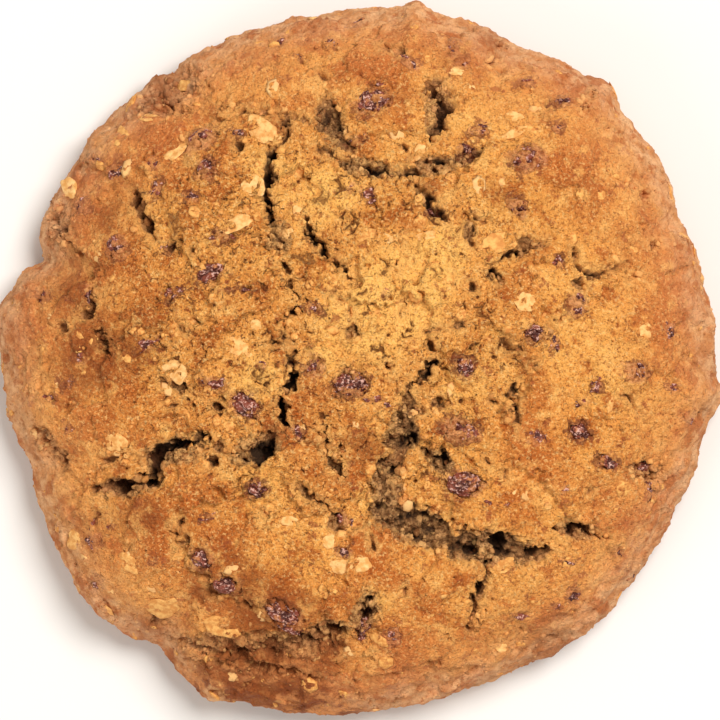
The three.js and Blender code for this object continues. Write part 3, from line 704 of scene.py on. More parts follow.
# Where the crust browned more, or less if negative: [x, y, reach, browning]
BROWNED = [
    [-25.4, -18.6, 2.8, 1.3],
    [0.6, -10.2, 2.8, 0.9],
    [-31.6, -0.4, 4.6, 1.1],
    [-25, 2.2, 4.6, 0.7],
    [-29, 17, 4.2, 0.8],
    [25.6, 20.5, 4.0, 0.6],
    [-23.3, 32.6, 2.4, 1.0],
    [-16.4, -23.6, 4.2, 0.7],
    [-12, -38.4, 3.6, 1.6],
    [-7.6, -38.8, 2.6, 1.4],
    [-16.4, -36.8, 3.2, 2.2],
    [-5.9, -29.2, 2.6, 0.7],
    [-10, -8.4, 2.0, 1.1],
    [-33.6, 8.2, 4.8, 0.9],
    [11, 35, 2.6, 0.8],
    [16, 38, 2.2, 0.8],
    [-25, -32.4, 3, 0.8],
    [6.2, 8.6, 4.4, -3.0],
    [-19.2, 29.5, 3.0, -0.6],
    [23.9, 27.6, 4.0, -0.9],
    [1.4, 4.4, 5, -2.6],
    [-17.1, -39.7, 1.8, -3],
    [-4.8, 0.2, 2.2, -1.3],
    [-11, 22.2, 2, -1.3],
    [-8, 22, 4.0, -0.6],
    [10.4, 13, 3.2, -1.8],
    [-3.4, 19.4, 3, -2.2],
    [17.6, 0.8, 3.2, 0.7],
    [15.6, -10.5, 3.6, 0.4],
    [20, 13.4, 5, 0.5],
    [16, 20, 3.4, 0.6],
    [-4, -9.8, 2.2, 0.6],
    [8.5, 20.1, 1.6, 0.8],
    [-25.5, -11.7, 2.5, 0.6],
    [-28, 23, 2.6, 0.5],
    [-11.6, -29.6, 4.6, 1.3],
    [11.1, -3.8, 2, -1.8],
    [1.1, -16.8, 2.2, -1.4],
    [-11.7, -2.1, 3, -1.6],
    [-6.1, 15.5, 2.4, -1.0],
    [-12, -14.4, 4, -1.0],
    [16, -32.5, 5, 0.5],
    [22.6, -34, 4, 0.7],
    [26.6, 33, 3, 0.7],
    [-32, -20, 4, 0.7],
    [-9.6, 26.8, 2.2, 1.0],
    [-20.4, 25, 2.6, 0.7],
    [-26, 29.6, 2.6, 0.7],
    [4.9, -12.1, 2, 0.7],
    [11, -16.6, 2.2, 0.8],
    [2.3, -28.4, 2, -1.2],
    [41.2, -0.6, 2.4, 0.8],
    [-19.2, -27.8, 2, 0.9],
    [-3, -34.6, 2.6, 1.4],
    [-18.4, -33.8, 2, -1.6],
    [5.4, 30.3, 2.2, 0.7],
]
print("tears:", len(TORN_PATCHES), "scraps:", len(RAISIN_SCRAPS), "browned:", len(BROWNED))

# %% [markdown]
# The raisins have their places in the packed model already. Each outline is read from there, as
# an oval seen from above, so that the dough can close round it. Some raisins lie bare, and over
# others the dough is nearly whole.


# %% Outlines of the packed raisins
def packed_outline(name):
    """[x, y, length, width, turn] of a packed raisin, seen from above."""
    corners = np.array([v.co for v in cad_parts[name].data.vertices])[:, :2] / MM
    middle = (corners.min(0) + corners.max(0)) / 2
    _, axes = np.linalg.eigh(np.cov((corners - middle).T))
    along = (corners - middle) @ axes[:, ::-1]
    length, width = along.max(0) - along.min(0)
    return [*middle, length, width, math.degrees(math.atan2(axes[1, 1], axes[0, 1]))]


RAISIN_OUTLINES = [packed_outline(name) for name in RAISIN_NODES]
# How much of each raisin lies bare, from 0 to 1
RAISIN_BARE = [0.75, 0.75, 0.12, 0.85, 0.6, 0.4, 0.3, 0.75, 0.65, 0.25, 0.5]
RAISIN_BARE += [0.6, 0.6, 0.55, 0.55, 0.75, 0.6, 0.05, 0.35, 0.15, 0.15, 0.15]
print("first raisin:", [round(float(value), 1) for value in RAISIN_OUTLINES[0]])

# %% [markdown]
# Lumps and crumbs need two patterns: soft noise for lumps, and cells for crumbs and plates, as
# crumbs are bodies with edges. A third measure gives the distance to a route and how far along
# it a point lies, so that a crack can narrow and widen as it goes.


# %% Patterns over the crust
def lumps(points, size, octaves=1, shift=0.0):
    """Perlin noise, about -1 to 1, with lumps about `size` mm apart."""
    return np.array([noise.fractal(p, 1.0, 2.0, octaves) for p in (points / size + shift).tolist()])


def cells(points, size):
    """Voronoi cells about `size` mm across: distance to the nearest middle and to the edge, in mm,
    the middles, and a level from 0 to 1 for each cell."""
    found = [noise.voronoi(p) for p in (points / size).tolist()]
    first, second = (np.array([away[i] for away, _ in found]) for i in range(2))
    middles = np.array([middle[0][:] for _, middle in found])
    levels = np.array([noise.cell(middle) for middle in (middles + 31.7).tolist()])
    return first * size, (second - first) * size / 2, middles * size, levels


def rise(value, low, high):
    """0 below low, 1 above high, smooth between."""
    share = np.clip((value - low) / (high - low), 0, 1)
    return share * share * (3 - 2 * share)


def along_route(plan, route):
    """Distance in plan to a route, and how far along it the nearest point is, in mm."""
    route = np.array(route, float)
    nearest, along, start = np.full(len(plan), np.inf), np.zeros(len(plan)), 0.0
    for a, b in zip(route[:-1], route[1:]):
        length = np.hypot(*(b - a))
        part = np.clip((plan - a) @ (b - a) / length**2, 0, 1)
        off = np.hypot(*(plan - a - part[:, None] * (b - a)).T)
        closer = off < nearest
        nearest[closer] = off[closer]
        along[closer] = (start + part * length)[closer]
        start += length
    return nearest, along, start


print("length of the first crack:", round(along_route(np.zeros((1, 2)), CRACKS[0][2])[2], 1), "mm")

# %% [markdown]
# A point of the crust has to know how far the nearest lip is and how deep that crack goes. Only
# the points near a route are asked, as there are half a million of them. Tears, raisins and
# scraps are ovals, and are asked for in the same way.


# %% Distances to cracks, tears and raisins
NECK_SPACING = 2.0  # how far apart a crack narrows to a neck
NECKING = 0.9  # how much it narrows there, as a share of its width


def crack_fields(plan, cracks):
    """Distance to the nearest lip, negative within a crack, and that crack's depth, in mm."""
    gap, depth = np.full(len(plan), FAR), np.zeros(len(plan))
    for number, (width, full_depth, route) in enumerate(cracks):
        low, high = np.min(route, 0) - FAR / 2, np.max(route, 0) + FAR / 2
        near = np.flatnonzero(np.all((plan > low) & (plan < high), axis=1))
        off, along, length = along_route(plan[near], route)
        fullness = CRACK_END + (1 - CRACK_END) * np.sqrt(np.sin(math.pi * along / length))
        line = np.stack([along / NECK_SPACING, 0 * along + 5.3 * number, 0 * along], -1)
        fullness *= 1 + NECKING * (lumps(line, 1.0, 2) - 0.05)
        edge = off - width / 2 * fullness
        closer = edge < gap[near]
        gap[near[closer]] = edge[closer]
        depth[near[closer]] = (full_depth * np.sqrt(np.maximum(fullness, 0)))[closer]
    return gap, depth


def oval_fields(plan, ovals):
    """Distance to the edge of the nearest oval, negative within it, the share of the way out to
    that edge, and the oval's number."""
    gap, reach, which = np.full(len(plan), FAR), np.full(len(plan), FAR), np.zeros(len(plan), int)
    for i, (x, y, length, width, turn) in enumerate(ovals):
        near = np.flatnonzero(np.all(abs(plan - (x, y)) < length / 2 + FAR / 2, axis=1))
        c, s = math.cos(math.radians(turn)), math.sin(math.radians(turn))
        off = plan[near] - (x, y)
        out = np.hypot((off @ (c, s)) / (length / 2), (off @ (-s, c)) / (width / 2))
        edge = (out - 1) * width / 2
        closer = edge < gap[near]
        gap[near[closer]] = edge[closer]
        reach[near[closer]] = out[closer]
        which[near[closer]] = i
    return gap, reach, which


print("cracks narrow to a neck about every", NECK_SPACING, "mm")

# %% [markdown]
# The dough breaks between crumbs, and crumbs hold together in clumps. So a point is drawn
# towards the middle of its crumb and of its clump before it is measured, and every lip follows
# their edges. Finer marks come from the same patterns: the seams between plates of skin, nicks
# and pores. They thin out towards the calm rim.

# %% What each point lies on
CRUMB = 0.72  # mm across
CLUMP = 2.1  # crumbs that hold together
PLATE = 5.4  # plates of the crust's skin, whose edges are ledges and hairlines
PORE_SPACING = 1.3
JAG = 0.45  # how far a lip wanders from its route
CLUMP_PULL = 0.3  # how far a point is drawn to the middle of its clump
CRUMB_PULL = 0.7  # and of its crumb
CREVICE_JAG = 0.45  # how ragged a short crevice is against a crack
FRUIT_JAG = 0.8  # and the edge of the dough round a raisin
BROKEN_MIDDLE = (-4, 4)  # the crust is most broken round here
BROKEN_REACH = (17, 30)


def crust_fields(points):
    """What each point of the crust lies on, as distances in mm."""
    wander = np.stack([lumps(points, 1.6, 2, shift) for shift in (3.1, 17.7, 29.3)], -1)
    _, _, clump_middles, _ = cells(points, CLUMP)
    off_crumb, _, crumb_middles, crumb_level = cells(points, CRUMB)
    ragged = CLUMP_PULL * (clump_middles - points) + CRUMB_PULL * (crumb_middles - points)
    ragged = ragged + JAG * wander
    crack, crack_depth = crack_fields((points + ragged)[:, :2], CRACKS)
    crevice, crevice_depth = crack_fields((points + CREVICE_JAG * ragged)[:, :2], CREVICES)
    tears = [patch[:5] for patch in TORN_PATCHES]
    torn, _, torn_which = oval_fields((points + ragged)[:, :2], tears)
    closing = points + FRUIT_JAG * ragged
    fruit, fruit_reach, which = oval_fields(closing[:, :2], RAISIN_OUTLINES)
    scrap, _, _ = oval_fields((points + ragged)[:, :2], RAISIN_SCRAPS)
    spots = points + 1.3 * wander * (1, 1, 0)
    _, seam, plate_middles, plate_level = cells(spots, PLATE)
    uphill = np.stack([np.cos(40 * plate_level), np.sin(40 * plate_level)], -1)
    plate_climb = np.sum((spots - plate_middles)[:, :2] * uphill, axis=1)
    calm = rise(np.hypot(*(points[:, :2] - BROKEN_MIDDLE).T), *BROKEN_REACH)
    creases = np.abs(lumps(points + 0.5 * ragged, 2.1, 2, 40.1))
    off_pore, _, _, pore_level = cells(points + 0.3 * wander, PORE_SPACING)
    pocket_depth = (1 - rise(crevice, -0.35, 0.1)) * crevice_depth
    crack_depth = np.where(crack < crevice, np.maximum(crack_depth, pocket_depth), crevice_depth)
    return {
        "crack": np.minimum(crack, crevice),
        "crack_depth": crack_depth,
        "torn": torn,
        "torn_depth": np.array([patch[5] for patch in TORN_PATCHES])[torn_which],
        "fruit": fruit,
        "fruit_reach": fruit_reach,
        "bare": np.array(RAISIN_BARE)[which],
        "scrap": scrap,
        "off_crumb": off_crumb,
        "crumb_level": crumb_level,
        "calm": calm,
        "browned": round_bumps(points[:, 0], points[:, 1], BROWNED),
        "seam": seam + 1.5 * rise(-lumps(points, 5.0, 2, 8.8), -0.35, 0.0) + 0.1 * calm,
        "plate_level": plate_level,
        "plate_climb": plate_climb,
        "pore": off_pore - (0.55 - 0.2 * calm) * np.maximum(pore_level - 0.4, 0),
        "nick": creases + 0.3 * rise(-lumps(points, 2.6, 2, 33.3), -0.3, -0.12) + 0.06 * calm,
    }


print("crumbs break the lips every", CRUMB, "mm")

# %% [markdown]
# The fields turn into relief. Each plate swells like a cushion and falls off towards its
# cracks, the cracks drop to a floor of crumb with deeper pockets, and the whole crust carries
# lumps from 5 mm down to half a millimetre. Near a raisin the dough is a thin skin over its
# cap, with holes where the cap shows. All this moves the surface along its own normal, so the
# steep side gets as much as the top. The foot stays put, so the cookie still stands on the floor.

# %% Relief of the crust
BROAD_LUMPS = (0.27, 5.2)  # height, spacing
MIDDLE_LUMPS = (0.24, 2.4)
FINE_LUMPS = (0.23, 0.95)
SIDE_LUMPS = (0.35, 2.6)
TOP_CRUMB = 0.15  # height of the crumbs where the top is loose
SIDE_CRUMB = 0.1
PILLOW = 0.45  # how far a plate's edge falls off
PILLOW_REACH = 1.4
LEDGE = 0.4  # step from one plate of skin to the next
TILT = 0.13  # slope of a plate against its surroundings
WALL = 0.22  # how far in from its lip a crack reaches its full depth
POCKET = 1.9  # spacing of the deep pockets in a crack's floor
CAP_DEPTH = 1.5  # half the height of a raisin
CAP_SINK = 1.0  # how far its middle lies under the crust
CAP_HOLE = 0.7  # how far the dough draws back where the cap shows
SKIN = 0.1  # thickness of the dough over a raisin
SEAM_DEPTH = 0.25
NICK_DEPTH = 0.5
PORE_DEPTH = 0.5
DEEPEST = 3.8  # no crack's floor lies deeper
BASE_PIT = 0.35  # depth of the pits in the underside
SIDE_TOP = 7.5  # where the side's own relief ends


def cap_height(reach):
    """How far a raisin's cap stands above the crust at a share of the way out to its edge."""
    return CAP_DEPTH * np.sqrt(np.maximum(1 - reach**2, 0)) - CAP_SINK


def sunken(points, fields, pebble):
    """How far the crust lies below its surroundings, and the part of it that is a crack, in mm."""
    crack, torn = fields["crack"], fields["torn"]
    pocket = rise(lumps(points, POCKET, 2, 12.3), -0.15, 0.25)
    floor = np.minimum(fields["crack_depth"], DEEPEST) * (0.5 + 0.5 * pocket)
    floor *= 1 - rise(crack, -WALL, 0.04)
    torn_floor = fields["torn_depth"] * (0.5 + 0.9 * lumps(points, 1.5, 3, 2.2)) - 0.25 * pebble
    hollow = PILLOW * np.exp(-np.maximum(crack, 0) / PILLOW_REACH)
    hollow += (1 - rise(torn, -0.4, 0.2)) * np.maximum(torn_floor, -0.2)
    narrow = 1 - rise(fields["seam"], 0.02, 0.14)
    pit = 1 - rise(fields["pore"], -0.05, 0.08)
    nicked = 1 - rise(fields["nick"], 0.01, 0.09)
    hollow += SEAM_DEPTH * narrow + PORE_DEPTH * pit + NICK_DEPTH * nicked
    return hollow + floor, floor


def over_fruit(points, fields, top):
    """The relief of the top where a raisin bulges under it or shows through a hole."""
    bulge = np.maximum(cap_height(np.minimum(fields["fruit_reach"], 1)), 0)
    cover = 0.9 * (fields["fruit_reach"] - 0.6) + 1.2 * (0.55 - fields["bare"])
    skin = rise(lumps(points, 1.1, 3, 3.9) + cover, -0.04, 0.08)
    showing = (1 - rise(fields["fruit_reach"], 0.9, 0.98)) * (1 - skin)
    near_fruit = 1 - rise(fields["fruit"], 0.1, 0.9)
    return (1 - 0.6 * near_fruit) * top + bulge + SKIN * near_fruit - CAP_HOLE * showing


def lumpy(points, kind, octaves, shift):
    height, spacing = kind
    return height * lumps(points, spacing, octaves, shift)


def relief(points, fields):
    """How far each point of the top and the side moves along its normal, and how far it lies
    below its surroundings, in mm."""
    pebble = 1 - (fields["off_crumb"] / (0.55 * CRUMB)) ** 2
    pebble = pebble * (0.3 + 0.7 * fields["crumb_level"])
    hollow, floor = sunken(points, fields, pebble)
    broad = lumpy(points, BROAD_LUMPS, 1, 7.3) + lumpy(points, MIDDLE_LUMPS, 2, 1.9)
    fine = lumpy(points, FINE_LUMPS, 3, 4.4)
    by_cracks = 1 - rise(fields["crack"], 0.1, 1.0)
    loose = np.maximum(by_cracks, 1 - rise(fields["torn"], -0.3, 0.8))
    crumbly = rise(lumps(points, 4.0, 2, 6.1) - 0.2 * fields["calm"], 0.1, 0.4)
    loose = np.maximum(loose, 0.6 * crumbly)
    ledge = LEDGE * (2 * fields["plate_level"] - 1) + TILT * fields["plate_climb"]
    ledge *= (1 - 0.5 * fields["calm"]) * (1 - np.exp(-fields["seam"] / 0.2))
    top = broad + fine + ledge + TOP_CRUMB * loose * pebble - hollow
    top = over_fruit(points, fields, top)
    side = broad + 0.6 * fine + lumpy(points, SIDE_LUMPS, 3, 9.6) + SIDE_CRUMB * pebble - floor
    high = rise(points[:, 2], GIRTH_LEVEL, SIDE_TOP)
    return (high * top + (1 - high) * side) * rise(points[:, 2], 0, 1.2), hollow


def baked_places(rest, normals, fields):
    """The points of the round after baking: top and side with relief, underside with pits."""
    move, _ = relief(rest, fields)
    baked = rest + normals * move[:, None]
    on_base = rest[:, 2] < 1e-6
    inside = 1 - rise(np.hypot(rest[:, 0], rest[:, 1]), MEAN_RADIUS - 9, MEAN_RADIUS - 5)
    pits = BASE_PIT * rise(lumps(rest, 3.0, 3, 14.2), 0.0, 0.5) * inside
    baked[on_base, 2] = pits[on_base]
    return baked


baked = baked_places(points, normals, crust_fields(points))
print("lowest and highest point:", baked[:, 2].min().round(2), baked[:, 2].max().round(2), "mm")

# %% [markdown]
# Meshes are written from arrays, which is fast, and each finished piece hides the packed node it
# stands for. Modifiers are turned into plain mesh before that, so that a piece is the same
# wherever it is read.


# %% Mesh helpers
def mesh_object(name, points, faces, material=None):
    """An object at the origin with its place in its mesh, from points in mm and triangles."""
    mesh = bpy.data.meshes.new(name)
    mesh.vertices.add(len(points))
    mesh.vertices.foreach_set("co", (np.asarray(points) * MM).astype(np.float32).ravel())
    mesh.loops.add(faces.size)
    mesh.loops.foreach_set("vertex_index", faces.astype(np.int32).ravel())
    mesh.polygons.add(len(faces))
    mesh.polygons.foreach_set("loop_start", np.arange(0, faces.size, 3, dtype=np.int32))
    mesh.update(calc_edges=True)
    mesh.validate()
    mesh.shade_smooth()
    if material:
        mesh.materials.append(material)
    made = bpy.data.objects.new(name, mesh)
    bpy.context.scene.collection.objects.link(made)
    return made


def keep_attribute(mesh, name, values):
    """Keeps a number or a vector for each point of a mesh."""
    kind = "FLOAT" if values.ndim == 1 else "FLOAT_VECTOR"
    data = mesh.attributes.new(name, kind, "POINT").data
    data.foreach_set("value" if values.ndim == 1 else "vector", values.astype(np.float32).ravel())


def read_vectors(items, name):
    """One vector for each point of a mesh, as an array."""
    values = np.zeros(3 * len(items), np.float32)
    items.foreach_get(name, values)
    return values.reshape(-1, 3)


def applied(piece):
    """Turns an object's modifiers into its plain mesh."""
    evaluated = piece.evaluated_get(bpy.context.evaluated_depsgraph_get())
    mesh = bpy.data.meshes.new_from_object(evaluated)
    piece.modifiers.clear()
    piece.data = mesh
    mesh.name = piece.name
    return piece


def dress(piece, node):
    """Lets a finished piece ride on the cookie in place of a packed node."""
    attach(piece, "root")
    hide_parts(node)


print("packed nodes to stand for:", len(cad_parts))

# %% [markdown]
# That many triangles are only needed where the crust breaks. The Decimate modifier takes them
# away where the surface is nearly flat. The resting place of each point goes along as an
# attribute, so the fields can be read again afterwards, and the finish then knows what is
# crack, torn crumb or the skin over a raisin.

# %% Mesh of the dough
DOUGH_TRIANGLES = 192_000 if FINE else 90_000

dough = mesh_object("cracked_dough", baked, faces)
keep_attribute(dough.data, "rest", points)
thin = dough.modifiers.new("thin", "DECIMATE")
thin.ratio = DOUGH_TRIANGLES / len(faces)
applied(dough)
rest = read_vectors(dough.data.attributes["rest"].data, "vector").astype(float)
spots = read_vectors(dough.data.vertices, "co")
spots[:, 2] = np.maximum(spots[:, 2], 0)  # nothing sticks out below the foot
dough.data.vertices.foreach_set("co", spots.ravel())
dough.data.update()
dough.data.attributes.remove(dough.data.attributes["rest"])
print("dough:", len(dough.data.polygons), "triangles")

# %% [markdown]
# The thinned mesh is asked once more what each of its points lies on. Two more attributes say
# where things may be scattered: loose crumbs lie by the lips and in the tears, but not down in
# the cracks, and grains stick to the open skin. Painting these by hand would take hours.

# %% What the finish and the crumbs read
fields = crust_fields(rest)
_, fields["hollow"] = relief(rest, fields)
fields["level"] = rest[:, 2]
by_lips = 0.6 - 0.6 * rise(fields["crack"], 0.1, 0.9)
in_tears = 1 - rise(fields["torn"], -0.5, 0.3)
fields["loose"] = np.maximum(by_lips, in_tears)
fields["loose"] *= 0.25 + 0.75 * rise(lumps(rest, 2.2, 2, 52.0), -0.2, 0.3)
fields["loose"] *= rise(fields["hollow"], 3.0, 1.8) * rise(rest[:, 2], 0.5, 4)
fields["open_skin"] = rise(fields["crack"], 0.0, 0.6) * rise(fields["fruit"], 0, 0.4)
fields["open_skin"] *= rise(rest[:, 2], 0.5, 6)
KEPT = ["crack", "torn", "fruit", "scrap", "seam", "pore", "nick", "plate_level", "hollow", "level"]
KEPT += ["calm", "browned", "loose", "open_skin"]
for name in KEPT:
    keep_attribute(dough.data, name, fields[name])
print("attributes:", KEPT)

# %% [markdown]
# ## The crust's finish
# Baked dough is golden where it is thin and sandy, and browner where it stood up to the heat.
# The lips of the cracks are paler, the torn crumb is duller and full of holes, and a raisin
# under the skin shows as a maroon stain. Colours could be painted by hand, but here they follow
# the same fields as the relief, so they always fit it. The patterns that several layers of
# colour share come first.


# %% Patterns of the crust's finish
PATCH_SIZE = 3.0
SANDY_SIZE = 0.6
SPECK_SIZE = 0.42
GRAIN_SIZE = 0.22
GAP_SPACING = 1.9


class CrustPatterns:
    """Noises and fields that the layers of the crust's colour share."""

    def __init__(self, f):
        self.patchy = f.noise(PATCH_SIZE, 4, 0.6)
        self.sandy = f.noise(SANDY_SIZE, 3, 0.65)
        self.speck = f.noise(SPECK_SIZE, 2, 0.6)
        self.grain = f.noise(GRAIN_SIZE, 2, 0.7)
        self.ragged = f.times(f.math("SUBTRACT", f.noise(0.55, 3, 0.7), 0.5), 1.5)
        self.level = f.attribute("level")
        self.calm = f.attribute("calm")
        self.browned = f.attribute("browned")
        # the grain is clearest in the middle, and weaker on the side and on golden patches
        sharp = f.within(self.level, 6, 16, 0.6, 1)
        sharp = f.times(sharp, f.within(self.calm, 0, 1, 1, 0.85))
        self.sharp = f.times(sharp, f.within(self.browned, -0.2, -1.5, 1, 0.82))
        # fine gaps between the grains of the skin, where it is broken
        broken = f.within(f.noise(1.1, 3, 0.6), 0.54, 0.6, 0, 1)
        broken = f.times(broken, f.within(self.calm, 0.1, 1, 0.7, 0.2))
        broken = f.times(broken, f.within(self.browned, -0.2, -1.5, 1, 0.6))
        self.gap = f.times(f.within(f.creases(GAP_SPACING, 1.6), 0.13, 0.02), broken)


print("sizes of the finish's patterns:", [PATCH_SIZE, SANDY_SIZE, SPECK_SIZE, GRAIN_SIZE], "mm")

# %% [markdown]
# The skin is laid in layers, as glazes are: broad tones first, then golden and browned patches,
# and over them the grain. One ramp of colours would be shorter, but on it a light grain could
# never lie on a dark patch.


# %% Skin and grain
BRIGHT_GRAIN = srgb(255, 206, 130)
DIM_GRAIN = srgb(146, 68, 16)


def skin_colour(f, p):
    """Broad tones and patches of the skin."""
    tint = f.plus(f.noise(11, 2), f.times(f.attribute("plate_level"), 0.1))
    tint = f.plus(tint, f.times(p.browned, 0.2))
    colour = f.mix(f.within(tint, 0.4, 0.75), srgb(237, 160, 75), srgb(198, 108, 41))
    colour = f.mix(f.within(tint, 0.45, 0.25, 0, 0.7), colour, srgb(248, 180, 91))
    colour = f.mix(f.within(p.patchy, 0.52, 0.67, 0, 0.8), colour, srgb(250, 183, 98))
    colour = f.mix(f.within(p.patchy, 0.47, 0.33, 0, 0.85), colour, srgb(184, 95, 29))
    golden = f.within(p.browned, -0.3, -2.0, 0, 0.8)
    return f.mix(golden, colour, srgb(255, 192, 100))


def with_grain(f, p, colour):
    """Specks of bran, light and dark grains of the sandy skin, and small maroon stains."""
    darker = f.times(f.within(p.sandy, 0.44, 0.32, 0, 0.85), f.within(p.patchy, 0.62, 0.42, 0.4, 1))
    colour = f.mix(f.times(darker, p.sharp), colour, srgb(126, 54, 10))
    for pattern, low, high, share, tone in [
        (p.speck, 0.44, 0.32, 0.75, DIM_GRAIN),
        (p.speck, 0.55, 0.68, 0.65, BRIGHT_GRAIN),
        (p.grain, 0.56, 0.7, 0.45, BRIGHT_GRAIN),
        (p.grain, 0.44, 0.3, 0.6, DIM_GRAIN),
    ]:
        colour = f.mix(f.times(f.within(pattern, low, high, 0, share), p.sharp), colour, tone)
    stained = f.within(f.noise(2.3, 5, 0.7), 0.59, 0.66, 0, 0.7)
    return f.mix(stained, colour, srgb(152, 70, 34))


print("a bright grain sends back", round(BRIGHT_GRAIN[1] / DIM_GRAIN[1]), "times a dim one's green")

# %% [markdown]
# Below the skin the crumb is tan and duller. Deep in a crack hardly any light comes back, so its
# floor gets painted shade, darker the deeper it lies. Hairlines, nicks, gaps and pores are finer
# than the lamp can shade, so they get painted shade as well.


# %% Crumb, cracks and fine lines
# painted shade for the deepest floors of the cracks
PAINTED_CRACK_SHADE = srgb(38, 19, 8)


def with_crumb(f, p, colour):
    """Paler lips, tan crumb in tears and cracks, and painted shade deep in the cracks."""
    lip = f.plus(f.attribute("crack"), p.ragged)
    colour = f.mix(f.within(lip, 0.9, 0.1, 0, 0.5), colour, srgb(242, 182, 102))
    crumb = f.mix(f.within(p.sandy, 0.38, 0.56), srgb(110, 72, 36), srgb(206, 156, 96))
    crumb = f.mix(f.within(p.grain, 0.55, 0.7, 0, 0.4), crumb, srgb(230, 184, 126))
    tear = f.plus(f.attribute("torn"), p.ragged)
    colour = f.mix(f.within(tear, 0.1, -0.5, 0, 0.75), colour, crumb)
    hollow = f.plus(f.attribute("hollow"), f.times(p.ragged, 0.5))
    floor = f.mix(f.within(p.sandy, 0.38, 0.56), srgb(114, 74, 40), srgb(214, 160, 106))
    colour = f.mix(f.within(hollow, 0.7, 1.3, 0, 0.65), colour, floor)
    # painted shade down in the cracks: dark brown from about 1.1 mm deep, near black from 1.8 mm
    colour = f.mix(f.within(hollow, 1.1, 1.7, 0, 0.45), colour, srgb(96, 54, 22))
    return f.mix(f.within(hollow, 1.8, 2.7, 0, 0.9), colour, PAINTED_CRACK_SHADE)


def with_fine_lines(f, p, colour):
    """Painted shade in hairlines, nicks, gaps between grains, and pores."""
    seam = f.plus(f.attribute("seam"), f.times(p.ragged, 0.25))
    colour = f.mix(f.within(seam, 0.15, 0.02, 0, 0.7), colour, srgb(104, 50, 16))
    colour = f.mix(f.within(f.attribute("nick"), 0.09, 0.015, 0, 0.8), colour, srgb(90, 40, 12))
    colour = f.mix(p.gap, colour, srgb(114, 52, 14))
    return f.mix(f.within(f.attribute("pore"), 0.04, -0.07, 0, 0.85), colour, srgb(84, 36, 12))


def with_fruit_stain(f, p, colour):
    """A maroon stain over and round each raisin and scrap, and painted shade along its edge."""
    fruit = f.plus(f.math("MINIMUM", f.attribute("fruit"), f.attribute("scrap")), p.ragged)
    stain = f.mix(f.within(p.sandy, 0.4, 0.6), srgb(142, 70, 38), srgb(212, 142, 98))
    colour = f.mix(f.within(fruit, 0.35, -0.5, 0, 0.65), colour, stain)
    # painted shade: a dark ring where the lip of the dough meets the raisin
    edge = f.plus(f.math("ABSOLUTE", fruit), f.within(p.patchy, 0.45, 0.6, 0.0, 0.3))
    return f.mix(f.within(edge, 0.3, 0.05, 0, 0.7), colour, srgb(100, 38, 18))


# the deepest cracks get painted shade of this colour
print(f"a deep floor sends back {PAINTED_CRACK_SHADE[0]:.1%} of the red light")

# %% [markdown]
# The side rises last and bakes in the shade of the dome, so it is paler and pinker than the top.
# Part of that pale pink is painted light: the glow that the pale floor throws back onto the side.
# The foot and the underside lie on the hot tray, and are toasted. At the front the foot pushes
# out from under the dome, and its toasted colour shows from above.

# %% Side, foot and the whole crust
FRONT = (-29.0, -35.0)  # from here to here the toasted foot begins to show
FRONT_NARROWS = -6.0  # to the right of here it shows less and less


def with_side(f, p, colour):
    """The paler, pinker side, partly painted light from the floor, and its blotches."""
    # a rosy tint that grows towards the rim, partly its own colour and partly painted rim light
    rosy_tint_and_rim_light = f.times(f.within(p.level, 18, 11, 0, 0.4), f.within(p.sandy, 0.35, 0.5, 0.5, 1))
    colour = f.mix(rosy_tint_and_rim_light, colour, srgb(214, 134, 80))
    # pink and cream of the side, partly its own colour and partly painted light from the floor
    pink, cream = srgb(190, 126, 81), srgb(231, 180, 133)
    side = f.mix(f.within(f.noise(1.9, 4, 0.6), 0.35, 0.65), pink, cream)
    pale = f.times(f.within(p.level, 13, 6.5, 0, 0.8), f.within(p.level, 1, 5, 0.3, 1))
    colour = f.mix(f.times(pale, f.within(p.patchy, 0.4, 0.55, 0.75, 1)), colour, side)
    blotch = f.within(f.noise(3.4, 5, 0.65), 0.54, 0.62, 0, 0.65)
    return f.mix(f.times(blotch, f.within(p.level, 14, 9)), colour, srgb(176, 92, 40))


def with_toast(f, p, colour):
    """The toasted foot, browned patches, and the toasted underside."""
    toast = f.mix(f.within(f.noise(2.4, 5, 0.65), 0.38, 0.6), srgb(128, 54, 14), srgb(224, 146, 84))
    toast = f.mix(f.within(f.noise(1.3, 3, 0.6), 0.62, 0.68, 0, 0.7), toast, srgb(240, 180, 104))
    toast = f.mix(f.within(p.speck, 0.42, 0.3, 0, 0.6), toast, srgb(92, 40, 12))
    right = f.math("MAXIMUM", f.math("SUBTRACT", f.split("X"), FRONT_NARROWS), 0.0)
    front = f.plus(f.plus(f.split("Y"), right), f.times(f.noise(5, 3), 8))
    bare_foot = f.times(f.within(front, *FRONT, 0, 0.86), f.within(p.browned, -1.2, -0.3))
    colour = f.mix(bare_foot, colour, toast)
    browned = f.plus(p.browned, f.times(p.ragged, 0.4))
    browned = f.times(f.within(browned, 0.2, 1.3, 0, 0.8), f.within(p.patchy, 0.6, 0.5, 0.45, 1))
    colour = f.mix(browned, colour, srgb(138, 68, 23))
    return f.mix(f.within(p.level, 1.8, 0.2), colour, toast)


def crust_colour(f, p):
    """The crust's colour, from its place and from the fields of the dough."""
    colour = skin_colour(f, p)
    for layer in (with_grain, with_crumb, with_fine_lines, with_fruit_stain, with_side, with_toast):
        colour = layer(f, p, colour)
    return colour


def crust_finish():
    """The crust's colour over four bumps: lumps, gaps, sandy skin and grain."""
    f = Finish("baked_crust")
    p = CrustPatterns(f)
    normal = f.bump(f.noise(1.0, 4, 0.6), 0.5)
    normal = f.bump(f.within(p.gap, 0, 1, 1, 0), 0.25, normal)
    normal = f.bump(p.sandy, 0.6, normal, p.sharp)
    normal = f.bump(p.grain, 0.22, normal, p.sharp)
    return f.finish(crust_colour(f, p), f.within(p.sandy, 0.3, 0.7, 0.7, 0.92), normal, 0.25)


